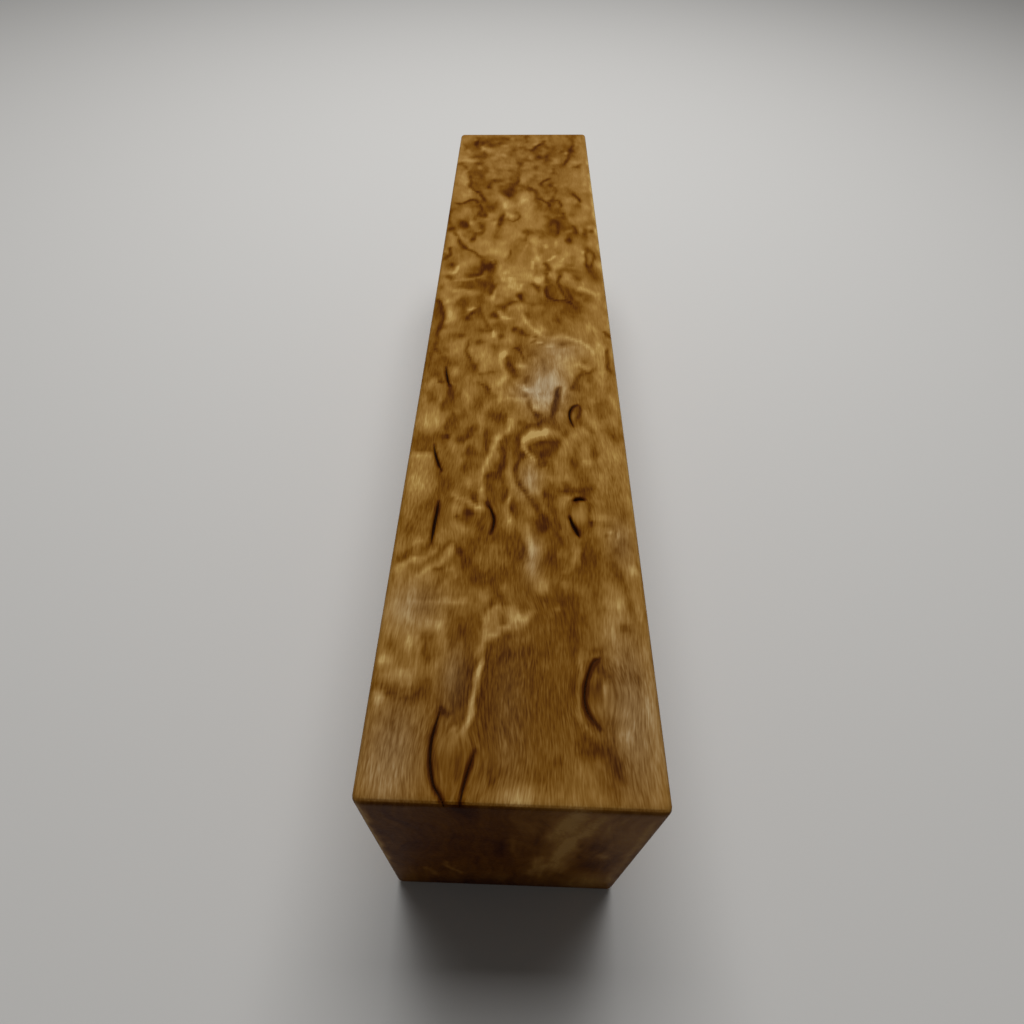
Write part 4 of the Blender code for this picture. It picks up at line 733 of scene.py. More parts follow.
        (2, 98.3), (13.8, 92.8), (8.2, 77), (24, 77.4), (8, 97.6), (21, 95.8), (10.2, 81), (17.4, 69.2),
        (19, 69.6), (16.4, 68.6), (6.8, 65.2), (6, 66), (13.8, 65.6), (17.5, 65.4), (20, 65.4),
        (21.6, 65.6), (20.9, 67.6), (20, 57.8), (1.7, 57.4), (1.6, 53.4), (2.8, 51), (7, 51),
        (11.3, 50.6), (16.5, 54.4), (15.7, 54), (21.2, 56), (21.8, 53), (12.4, 58.4), (14.5, 57.8),
        (16.5, 61.5), (17, 63), (10.3, 67.4), (13, 69.6), (10.6, 69.4), (7.3, 54.8), (8.6, 52.8),
        (14.3, 48.9), (15.5, 49), (18.8, 48.6), (0.8, 60.8), (22.3, 71.6), (10.3, 60.8), (8.4, 72),
        (5.3, 63), (19.4, 22), (14.7, 22), (12.8, 23.6), (5.6, 20.5), (9, 20), (8.3, 18.4), (1.3, 18.8),
        (1.8, 23.5), (6.4, 13.6), (2.8, 12.8), (1.4, 13.9), (9.1, 11.6), (9.3, 7.2), (4.8, 10.2),
        (6.4, 8.6), (19, 6.8), (19.5, 10), (20, 3.4), (20.8, 2), (14.9, 1.2), (11, 2), (18.5, 5.3),
        (2, 1.8), (8.8, 3), (23.5, 11), (22.4, 18), (20.5, 20), (6, 15.5), (9.2, 16.6), (8, 15.8),
        (10.2, 25.6), (8, 25), (1.9, 48.8), (9, 48.5), (13.3, 48.5), (23.4, 48), (5, 45.2), (8.6, 43.6),
        (12.8, 44), (14.9, 44.8), (16, 42.8), (7, 41.8), (13, 40.6), (21.2, 43), (9, 38.5), (11, 38.8),
        (16.2, 38.2), (19, 35.5), (10.5, 35), (6, 35.5), (12.7, 34.6), (18.4, 32.6), (12.6, 30.4),
        (12.6, 29.6), (8.6, 31.4), (14.3, 28.5), (19.4, 27.6), (19.2, 25.5), (4.6, 25), (10.2, 33),
        (3.2, 31), (21.5, 36), (17, 33), (16.4, 31.4), (11.5, 28.6), (4.4, 38.8), (16.6, 106.2),
        (10.8, 109), (7.3, 104.8), (8.5, 106), (2.8, 104.6), (17, 104.4), (19, 101.8), (15.2, 100.5),
        (9.6, 101), (3.5, 99.2), (12, 103.8), (1.2, 115), (1.6, 112.3), (6.2, 113.6), (8, 116.5),
        (11.8, 117.4), (13.5, 117), (16.6, 116.5), (17.2, 115.6), (10.7, 119.2), (8.4, 120), (5.5, 119.5),
        (16, 122), (20.6, 121.8), (22.8, 123.2), (18.5, 126.5), (22.9, 127), (13.2, 125.8), (19, 124),
        (11.2, 121.8), (4.4, 123.4), (22.2, 120), (12.2, 113.5), (14.6, 110.8), (20.2, 115),
        (18.3, 119.5), (22.7, 100.5), (7.9, 102.8), (16.2, 128.4),
    ]),
    *lay_dabs((0.6, 0.8), -0.22, [
        (10.1, 62.9), (10.4, 67.4), (17.8, 92.6), (20.6, 79.8), (23.5, 76.6), (17.8, 107.2), (6, 24.4),
        (18.6, 24.5), (18.2, 107.5), (12.3, 104.7), (5.8, 99.8), (1.5, 75.4), (15.5, 88.4), (1.6, 62.6),
        (0.9, 72.4), (22.3, 70.4),
    ]),
    *lay_dabs((0.6, 0.5), 0.12, [
        (3.9, 21.3), (21.6, 55.1), (8.8, 64.4),
    ]),
    *lay_dabs((0.7, 0.6), -0.1, [
        (21.4, 18), (5.6, 123), (8.5, 125.2), (15.8, 123.7),
    ]),
    *lay_dabs((0.4, 0.7), -0.12, [
        (10.3, 17.9), (12.2, 36.6), (12.8, 32.8),
    ]),
    *lay_dabs((0.5, 0.8), -0.08, [
        (8, 9.6), (23.2, 15.6), (12, 41.8),
    ]),
    *lay_dabs((0.6, 0.84), -0.1, [
        (10.4, 20), (8, 24), (11.6, 24.4), (14.6, 24.6), (15, 22.6), (16.8, 23.3), (3.5, 24.7),
        (17.7, 18.8), (19.3, 17), (14.6, 16.8), (18.4, 10), (3.6, 22.8),
    ]),
    *lay_dabs((0.6, 0.84), 0.12, [
        (21.4, 20.5), (21.3, 22.6), (24.2, 22.3), (16.1, 16), (7.1, 13.4), (1, 15.4), (1, 18.2),
        (1.2, 24.3), (5.9, 18), (4.2, 24), (13.8, 22.6), (13.2, 9.5), (20, 5), (17.2, 13),
    ]),
    *lay_dabs((0.5, 0.8), -0.2, [
        (9.5, 33.6), (11.8, 96.2), (4.8, 86.3),
    ]),
    *lay_dabs((0.5, 0.7), -0.14, [
        (20.8, 28.6), (1.6, 62.4), (18, 50.2),
    ]),
    *lay_dabs((0.5, 0.9), 0.1, [
        (6.5, 37), (23.2, 120), (16.8, 122.8),
    ]),
    *lay_dabs((0.7, 0.9), 0.12, [
        (14.3, 33.2), (7, 98.8), (6.5, 108.4),
    ]),
    *lay_dabs((0.55, 0.77), -0.14, [
        (17.8, 42), (10.8, 39.5), (6.8, 38.3), (15.8, 38.7), (16, 33.2), (12.3, 36), (9.4, 33.5),
        (8.5, 31.4), (9.4, 29), (12.2, 28), (22.4, 28.2), (24.3, 41.5), (21.4, 46.4), (8.6, 49),
        (15, 42.9), (17.6, 47.5), (4.4, 42.6), (19.3, 25.6), (23, 25.2), (16.2, 36.6),
    ]),
    *lay_dabs((0.55, 0.77), 0.13, [
        (6.5, 48.5), (20.6, 42.5), (20.8, 39.6), (22.2, 38.6), (24.7, 36), (1, 37.6), (1, 34.2),
        (1, 29.6), (18.8, 35.2), (19.2, 33.1), (18.1, 32), (14.2, 30.5), (20.6, 29.6), (21, 27.6),
        (24.5, 28), (15.6, 25.2), (8.8, 43.2), (5, 45.2), (7.6, 39.4), (24.2, 45), (1, 47.6), (14.3, 35),
        (7, 27), (12.9, 39.6),
    ]),
    *lay_dabs((0.7, 1.1), 0.2, [
        (4.4, 53), (15.4, 85.8), (20.8, 101.4),
    ]),
    *lay_dabs((0.6, 0.8), -0.14, [
        (16, 63.5), (18.8, 62.5), (22.4, 82.3),
    ]),
    *lay_dabs((0.5, 0.8), -0.16, [
        (8.6, 91.2), (5.9, 94.5), (6.5, 91.7),
    ]),
)

VEINS = NEAR_VEINS + EYE_VEINS + MIDDLE_VEINS + FAR_VEINS + END_VEINS
CLOUDS = NEAR_CLOUDS + EYE_CLOUDS + MIDDLE_CLOUDS + FAR_CLOUDS + END_CLOUDS_AND_EDGE_HIGHLIGHTS + DABS

# The near end's end grain, and painted highlights down its rounded upright edges, written (across, up) in
# millimetres from its lower left corner
END_GRAIN_VEINS_AND_RIM_HIGHLIGHTS = (
    Vein(((17.6, 34.5), (17.4, 30.5), (16.8, 27.5), (16.5, 24.5), (16.6, 21)), 0.6, 0.3),
    Vein(((18.6, 34.5), (18.2, 30), (18, 26)), 0.5, 0.2),
    Vein(((20.4, 34.5), (19.8, 30), (19.3, 26.5), (18.4, 23), (18.1, 20)), 0.55, 0.34),
    Vein(((18.2, 25), (18, 21), (17.7, 17), (17.4, 13.5), (17.3, 9)), 0.5, 0.34),
    Vein(((21.9, 33.5), (21.4, 30), (21, 26.5), (21.3, 23.5)), 0.4, 0.22),
    Vein(((19.1, 26.5), (19.2, 23), (19.4, 20), (19.7, 17), (19.9, 14.5)), 0.22, -0.24),
    Vein(((18.5, 15.5), (18.6, 12), (18.4, 8)), 0.4, 0.14),
    Vein(((15.9, 18), (15.8, 14), (15.6, 11.5), (15.3, 9), (15.3, 6)), 0.4, 0.34),
    Vein(((16.6, 14.5), (16.3, 10), (16.2, 7.5), (16.3, 5)), 0.3, 0.26),
    Vein(((17, 16), (17, 11)), 0.16, -0.16),
    Vein(((5.9, 14.2), (6.3, 12), (6.8, 10), (7.4, 8), (8.2, 5.2)), 0.2, 0.42),
    Vein(((4.1, 10.2), (4.3, 8), (4.7, 6.6), (5, 5)), 0.35, 0.28),
    Vein(((6.9, 13), (7.4, 10.5), (7.6, 9)), 0.14, 0.14),
    Vein(((13.1, 24), (13.2, 20), (13.3, 15.5)), 0.25, 0.14),
    # Painted highlight down the rounded left upright edge
    Vein(((0.45, 38), (0.45, 30), (0.45, 22), (0.5, 8)), 0.26, 0.7),
    Vein(((1.3, 23.5), (1.4, 21.5), (1.5, 19.5)), 0.25, 0.14),
    # Painted highlight down the rounded right upright edge
    Vein(((24.4, 36), (24.4, 26), (24.2, 14), (24, 1)), 0.45, 0.34),
    Vein(((20.2, 7), (20.1, 4.5), (20.3, 1.5)), 0.25, 0.2),
    Vein(((8.6, 8), (9, 4.5), (9.2, 1)), 0.25, -0.14),
    Vein(((15.2, 34), (15.5, 29), (15.3, 24), (15, 20)), 0.35, -0.14),
)

# The first two clouds are painted light: they lighten the bottom corners, where the floor's shade falls on
# the end
END_GRAIN_CLOUDS_AND_PAINTED_LIGHT = lay_clouds(
    (22.4, 3, 2.8, 4.5, 0.22), (2.4, 4, 2.2, 4.5, 0.14), (12, 5, 4, 3.5, 0.06), (3.5, 20, 3.2, 14, -0.06),
    (8.8, 32.2, 1.6, 2.4, -0.16), (17.9, 19.5, 0.9, 5, 0.16), (10.5, 20, 3.4, 8, -0.12),
    (9, 2, 6, 2.4, -0.14), (14.6, 29.5, 2.4, 4.5, 0.12), (18.4, 27, 2.4, 9, 0.36),
    (17.4, 13, 2, 6.5, 0.26), (22, 17.8, 0.55, 1.6, 0.4), (22, 6, 2, 5, 0.3), (21.4, 13, 1.3, 2.8, -0.12),
    (23.2, 26, 1.3, 8, 0.26), (20.6, 21.6, 0.7, 1.8, -0.16), (17, 3, 2.6, 2.4, 0.05),
)

# Where the wood is made paler and greyer
PALE_PATCHES = lay_clouds(
    (12.7, 5, 16, 15, 0.16), (16.2, 51, 2.4, 5, 1), (14, 49.6, 2, 1.6, 0.5), (18, 58.5, 3, 2.4, 0.4),
    (23, 8, 2.4, 7, 0.7), (2.6, 4, 2.6, 4.5, 0.7), (7.4, 10.5, 1.2, 3, 0.6), (12.2, 8, 1.6, 6, 0.3),
    (3, 18, 2.6, 2.4, 0.5), (23.6, 26, 1.4, 3, 0.4), (14.3, 24, 0.9, 2.6, 0.5), (14, 34.6, 1.2, 2.4, 0.5),
    (12.7, 118, 16, 18, 0.14),
)

# Where the figure is quiet and the plain fibres show
CALM_PATCHES = lay_clouds(
    (2.6, 4, 2.6, 4.5, 0.8), (13, 7, 4, 6.5, 0.8), (23, 9, 2, 6, 0.7), (1.6, 31.5, 1.4, 5, 0.7),
    (10.8, 23.4, 2.4, 2, 0.5), (22.4, 34, 1.8, 3, 0.5), (22.6, 110, 2.2, 7, 0.5),
)

SWELLS = (
    Swell((12.8, 3.8), 3.2, 0.0, 0.6),
    Swell((14.5, 20.5), 2.6, 0.0, -0.7),
    Swell((7.6, 3.6), 2.6, 0.5),
    Swell((20.4, 9.6), 2.6, 0.55),
    Swell((7.4, 29.4), 2.4, 0.55),
    Swell((19.6, 29.6), 2.2, 0.5),
    Swell((4.1, 40.8), 1.2, 0.4),
    Swell((15.4, 39.8), 2.2, 0.45),
    Swell((19.6, 45.4), 1.5, 0.45),
    Swell((16, 51.5), 3.0, 0.35),
    Swell((0.8, 66), 2.0, 0.4),
    Swell((7.2, 78.4), 2.2, 0.45),
    Swell((17.8, 72.4), 1.8, 0.4),
    Swell((10.4, 104), 2.2, 0.4),
)


def smooth_path(path: Sequence[Place], samples: int = 6) -> np.ndarray:
    """Rounds a path's corners with a curve through all of its points.

    Args:
        path: the places that the curve passes.
        samples: how many steps it takes between two of them.

    Returns:
        The curve's places, one a row.
    """
    given = np.array(path, dtype=float)
    padded = np.vstack([2 * given[0] - given[1], given, 2 * given[-1] - given[-2]])
    share = np.linspace(0, 1, samples, endpoint=False)[:, None]
    stretches = []
    for before, start, end, after in zip(padded, padded[1:], padded[2:], padded[3:]):
        bend = 2 * before - 5 * start + 4 * end - after
        twist = 3 * start - before - 3 * end + after
        stretches.append(start + 0.5 * share * ((end - before) + share * (bend + share * twist)))
    return np.vstack([*stretches, given[-1:]])


def measure_to_path(places: np.ndarray, path: np.ndarray) -> tuple[np.ndarray, np.ndarray]:
    """Measures how places lie to a path.

    Args:
        places: the places to measure from, one a row.
        path: the path's places, in order.

    Returns:
        Each place's distance from the path, positive on its left, and how far along the path its
        nearest point is, from 0 to 1.
    """
    start = path[:-1]
    run = path[1:] - start
    run_squared = (run**2).sum(1)
    reach = places[:, None, :] - start[None, :, :]
    share = np.clip((reach * run).sum(2) / run_squared, 0, 1)
    gap = reach - share[..., None] * run
    distance = np.sqrt((gap**2).sum(2))
    nearest = distance.argmin(1)
    rows = np.arange(len(places))
    away = reach[rows, nearest]
    side = np.sign(run[nearest, 0] * away[:, 1] - run[nearest, 1] * away[:, 0])
    lengths = np.sqrt(run_squared)
    walked = np.concatenate([[0], np.cumsum(lengths)])
    along = (walked[nearest] + share[rows, nearest] * lengths[nearest]) / walked[-1]
    return distance[rows, nearest] * np.where(side == 0, 1, side), along


def ease(value: np.ndarray, low: float, high: float) -> np.ndarray:
    """A soft step from 0 at low to 1 at high."""
    share = np.clip((value - low) / (high - low), 0, 1)
    return share * share * (3 - 2 * share)


@dataclass(frozen=True)
class Drawing:
    """Veins, clouds and slits placed one by one on one face, measured at any place on it."""

    veins: tuple[Vein, ...]
    clouds: tuple[Cloud, ...]
    slits: tuple[Slit, ...] = ()
    reach_in_widths: float = 3.2
    tip_fade: float = 0.22
    crisp_share: float = 0.4
    soft_share: float = 1.7
    outside: float = -3.0
    darkest: float = -0.46
    dark_slope: float = 1.45

    def _near(self, places: np.ndarray, path: np.ndarray, margin: float) -> np.ndarray:
        """Which places lie within a margin of a path's own box."""
        low = path.min(0) - margin
        high = path.max(0) + margin
        return np.flatnonzero(((places >= low) & (places <= high)).all(1))

    def _add_vein(self, tone: np.ndarray, places: np.ndarray, vein: Vein) -> None:
        """Adds one vein's tone at the places that it reaches."""
        path = smooth_path(vein.path)
        near = self._near(places, path, self.reach_in_widths * vein.width * self.soft_share)
        distance, along = measure_to_path(places[near], path)
        side = distance * vein.crisp.value
        width = np.full(len(near), vein.width)
        if vein.crisp is not Crisp.NEITHER:
            width *= np.where(side > 0, self.crisp_share, self.soft_share)
        fade = ease(along, 0, self.tip_fade) * ease(1 - along, 0, self.tip_fade)
        tone[near] += vein.tone * np.exp(-((distance / width) ** 2)) * fade

    def _shade(self, tone: np.ndarray) -> np.ndarray:
        """Lets dark tones near the darkest one slowly, so that a mark's middle keeps its shading."""
        return self.darkest * (1 - np.exp(-self.dark_slope * np.minimum(tone, 0) / self.darkest))

    def tone(self, places: np.ndarray) -> np.ndarray:
        """How much lighter or darker than plain wood each place is."""
        places = places + waver(places)
        tone = add_clouds(places, self.clouds)
        for vein in self.veins:
            self._add_vein(tone, places, vein)
        return np.where(tone < 0, self._shade(tone), tone)

    def slit_depth(self, places: np.ndarray) -> np.ndarray:
        """How far inside a slit's rim each place is, in millimetres, and below 0 outside."""
        inside = np.full(len(places), self.outside)
        for slit in self.slits:
            path = smooth_path(slit.path)
            near = self._near(places, path, -self.outside)
            distance, along = measure_to_path(places[near], path)
            half = slit.width / 2 * np.sqrt(np.clip(np.sin(np.pi * along), 0, 1))
            inside[near] = np.maximum(inside[near], half - np.abs(distance))
        return inside


def add_clouds(places: np.ndarray, clouds: Sequence[Cloud]) -> np.ndarray:
    """The sum of a group of clouds at each place."""
    total = np.zeros(len(places))
    for cloud in clouds:
        turn = math.radians(cloud.turn)
        spin = np.array([[math.cos(turn), -math.sin(turn)], [math.sin(turn), math.cos(turn)]])
        offset = (places - np.array(cloud.centre)) @ spin / np.array(cloud.radii)
        total += cloud.tone * np.exp(-(offset**2).sum(1))
    return total


def bowed_path(start: Place, heading: float, length: float, bow: float) -> tuple[Place, ...]:
    """A path that leaves its straight run to the right and comes back.

    Args:
        start: where it begins.
        heading: its run's angle from straight along the block, in radians.
        length: its run's length.
        bow: how far it leaves the run at its middle.

    Returns:
        Its places, from start to end.
    """
    ahead = (math.sin(heading), math.cos(heading))
    path = []
    for step in range(HIDDEN_SLIT_STEPS + 1):
        share = step / HIDDEN_SLIT_STEPS
        aside = bow * 4 * share * (1 - share)
        across = start[0] + ahead[0] * length * share + ahead[1] * aside
        along = start[1] + ahead[1] * length * share - ahead[0] * aside
        path.append((across, along))
    return tuple(path)


def hidden_slits(sizes_across: Sequence[float]) -> list[tuple[Slit, ...]]:
    """Places slits on the long faces that the top view hides, one in each stretch of the length.

    Args:
        sizes_across: how wide each of the faces is, in millimetres.

    Returns:
        Each face's slits.
    """
    draw = random.Random(HIDDEN_SLIT_SEED)
    stretch = BLANK_LENGTH / HIDDEN_SLITS_PER_FACE
    faces = []
    for across in sizes_across:
        slits = []
        for number in range(HIDDEN_SLITS_PER_FACE):
            length = draw.uniform(*HIDDEN_SLIT_LENGTHS)
            room = stretch - length - HIDDEN_SLIT_MARGIN
            along = number * stretch + HIDDEN_SLIT_MARGIN / 2 + draw.uniform(0, room)
            side = draw.uniform(HIDDEN_SLIT_MARGIN, across - HIDDEN_SLIT_MARGIN)
            heading = math.radians(draw.uniform(-HIDDEN_SLIT_LEAN, HIDDEN_SLIT_LEAN))
            bow = draw.uniform(-HIDDEN_SLIT_BOW, HIDDEN_SLIT_BOW)
            path = bowed_path((side, along), heading, length, bow)
            slits.append(Slit(path, draw.uniform(*HIDDEN_SLIT_WIDTHS)))
        faces.append(tuple(slits))
    return faces


def waver(places: np.ndarray) -> np.ndarray:
    """Small smooth shifts, in millimetres, that keep a stroke's edges from looking ruled."""
    draw = np.random.default_rng(WAVER_SEED)
    shift = np.zeros_like(places)
    for length in WAVER_LENGTHS:
        for axis in (0, 1):
            heading = draw.uniform(0, 2 * math.pi, WAVES_PER_LENGTH)
            phase = draw.uniform(0, 2 * math.pi, WAVES_PER_LENGTH)
            run = places[:, :1] * np.cos(heading) + places[:, 1:] * np.sin(heading) * WAVER_STRETCH
            shift[:, axis] += WAVER_SHARE * length * np.sin(run * 2 * math.pi / length + phase).mean(1)
    return shift


def bend_fibres(places: np.ndarray) -> np.ndarray:
    """How far the fibres through each place have been pushed aside, in millimetres."""
    moved = np.zeros_like(places)
    for swell in SWELLS:
        offset = places - np.array(swell.centre)
        nearness = np.exp(-(offset**2).sum(1) / swell.radius**2)
        moved -= offset * (swell.push * nearness)[:, None]
        moved[:, 0] -= swell.sway * nearness
    return moved


@dataclass(frozen=True)
class LongFace:
    """One of the block's long faces: which way it looks, which way across it runs, and its drawing."""

    outward: Point
    across: Point
    drawing: Drawing


LEFT_SLITS, RIGHT_SLITS, UNDER_SLITS = hidden_slits((BLANK_HEIGHT, BLANK_HEIGHT, BLANK_WIDTH))
TOP = LongFace((0.0, 0.0, 1.0), (1.0, 0.0, 0.0), Drawing(VEINS, CLOUDS, SLITS))
HIDDEN_FACES = (
    LongFace((-1.0, 0.0, 0.0), (0.0, 0.0, 1.0), Drawing((), (), LEFT_SLITS)),
    LongFace((1.0, 0.0, 0.0), (0.0, 0.0, -1.0), Drawing((), (), RIGHT_SLITS)),
    LongFace((0.0, 0.0, -1.0), (-1.0, 0.0, 0.0), Drawing((), (), UNDER_SLITS)),
)
NEAR_END_DRAWING = Drawing(END_GRAIN_VEINS_AND_RIM_HIGHLIGHTS, END_GRAIN_CLOUDS_AND_PAINTED_LIGHT)

NOISE_MEAN = 0.5
PLAIN_WOOD = 0.5
WHITE = (1.0, 1.0, 1.0, 1.0)


@dataclass(frozen=True)
class Pattern:
    """Noise in the wood: its features to a millimetre each way, and its finer layers."""

    scale: Point
    detail: float
    roughness: float


@dataclass(frozen=True)
class Warp:
    """Noise that moves the wood about, and how far it pushes, in millimetres."""

    pattern: Pattern
    push: float


@dataclass(frozen=True)
class Waves:
    """Wavy fibres for the painted sheen, and the step toward the light from one side of a wave to the
    other, in millimetres.
    """

    pattern: Pattern
    step: Point


class Shade:
    """A shader socket that Python's operators turn into Math nodes."""

    def __init__(self, graph: "ShaderGraph", socket: bpy.types.NodeSocket) -> None:
        """Keeps the socket and the graph that it is in."""
        self.graph = graph
        self.socket = socket

    def __add__(self, other: "Shade | float") -> "Shade":
        """This value plus another."""
        return self.graph.math("ADD", self, other)

    def __sub__(self, other: "Shade | float") -> "Shade":
        """This value less another."""
        return self.graph.math("SUBTRACT", self, other)

    def __rsub__(self, other: float) -> "Shade":
        """A number less this value."""
        return self.graph.math("SUBTRACT", other, self)

    def __mul__(self, other: "Shade | float") -> "Shade":
        """This value times another."""
        return self.graph.math("MULTIPLY", self, other)

    __radd__ = __add__
    __rmul__ = __mul__

    def __abs__(self) -> "Shade":
        """This value without its sign."""
        return self.graph.math("ABSOLUTE", self)


class ShaderGraph:
    """A material's nodes, made one at a time in the order that they are used."""

    # The colour sockets of a Mix node, which share their names with its number and vector sockets
    BLEND_SHARE = 0
    BLEND_FIRST = 6
    BLEND_SECOND = 7
    BLEND_RESULT = 2

    def __init__(self, name: str) -> None:
        """Starts a material that has its output and nothing else.

        Args:
            name: the material's name.
        """
        self.material = bpy.data.materials.new(name)
        self.material.use_nodes = True
        self.tree = self.material.node_tree
        self.tree.nodes.clear()

    def node(
        self,
        kind: str,
        settings: Mapping[str, object] | None = None,
        inputs: Mapping[str | int, object] | None = None,
    ) -> bpy.types.Node:
        """Adds one node.

        Args:
            kind: the node's type, without its ShaderNode prefix.
            settings: its properties, which are set first.
            inputs: its sockets' values, or the shades that are linked to them.

        Returns:
            The new node.
        """
        node = self.tree.nodes.new(f"ShaderNode{kind}")
        for name, value in (settings or {}).items():
            setattr(node, name, value)
        for key, value in (inputs or {}).items():
            if isinstance(value, Shade):
                self.tree.links.new(value.socket, node.inputs[key])
            else:
                node.inputs[key].default_value = value
        return node

    def math(self, operation: str, *values: "Shade | float") -> Shade:
        """One Math node on values or numbers."""
        node = self.node("Math", {"operation": operation}, dict(enumerate(values)))
        return Shade(self, node.outputs["Value"])

    def vector(self, operation: str, *values: "Shade | Sequence[float]") -> Shade:
        """One Vector Math node on vectors."""
        node = self.node("VectorMath", {"operation": operation}, dict(enumerate(values)))
        return Shade(self, node.outputs["Vector"])

    def attribute(self, name: str) -> Shade:
        """A vector that the mesh holds at each of its points."""
        node = self.node("Attribute", {"attribute_name": name, "attribute_type": "GEOMETRY"})
        return Shade(self, node.outputs["Vector"])

    def parts(self, vector: Shade) -> tuple[Shade, Shade, Shade]:
        """A vector's three numbers."""
        node = self.node("SeparateXYZ", inputs={"Vector": vector})
        return tuple(Shade(self, socket) for socket in node.outputs)

    def noise(self, place: Shade, pattern: Pattern, output: str = "Fac") -> Shade:
        """Fractal noise.

        Args:
            place: where to read it, in millimetres.
            pattern: its features and its finer layers.
            output: Fac for a number, or Color for three that differ.

        Returns:
            The noise, around its mean.
        """
        inputs = {
            "Vector": self.vector("MULTIPLY", place, pattern.scale),
            "Scale": 1.0,
            "Detail": pattern.detail,
            "Roughness": pattern.roughness,
        }
        return Shade(self, self.node("TexNoise", inputs=inputs).outputs[output])

    def step(self, value: Shade, low: float, high: float) -> Shade:
        """A soft step from 0 at low to 1 at high."""
        inputs = {"Value": value, "From Min": low, "From Max": high}
        node = self.node("MapRange", {"interpolation_type": "SMOOTHSTEP"}, inputs)
        return Shade(self, node.outputs["Result"])

    def ramp(self, value: Shade, stops: Sequence[tuple[float, Colour]]) -> Shade:
        """A colour for each value, by a ramp's stops."""
        node = self.node("ValToRGB", inputs={"Fac": value})
        elements = node.color_ramp.elements
        while len(elements) < len(stops):
            elements.new(1.0)
        for element, (position, colour) in zip(elements, stops):
            element.position = position
            element.color = colour
        return Shade(self, node.outputs["Color"])

    def blend(self, share: Shade, first: "Shade | Colour", second: "Shade | Colour") -> Shade:
        """A colour between two others."""
        sockets = {self.BLEND_SHARE: share, self.BLEND_FIRST: first, self.BLEND_SECOND: second}
        node = self.node("Mix", {"data_type": "RGBA"}, sockets)
        return Shade(self, node.outputs[self.BLEND_RESULT])

    def dim(self, vector: Shade, strength: float) -> Shade:
        """A vector times a number."""
        node = self.node("VectorMath", {"operation": "SCALE"}, {"Vector": vector, "Scale": strength})
        return Shade(self, node.outputs["Vector"])

    def finish(self, **sockets: "Shade | float") -> bpy.types.Material:
        """Ends the graph in one Principled shader.

        Args:
            sockets: its sockets' values, with underscores for the spaces in their names.

        Returns:
            The finished material.
        """
        inputs = {name.replace("_", " "): value for name, value in sockets.items()}
        surface = self.node("BsdfPrincipled", inputs=inputs)
        output = self.node("OutputMaterial")
        self.tree.links.new(surface.outputs["BSDF"], output.inputs["Surface"])
        return self.material


class Attribute(Enum):
    """The vectors that the block's mesh holds for its finish."""

    FIBRE_PLACE = "fibre_place"  # where the wood was before its fibres bent, in millimetres
    FIGURE = "figure"  # tone, depth inside a slit in millimetres, and paleness
    SURFACE = "surface"  # end grain, drawn, and calm
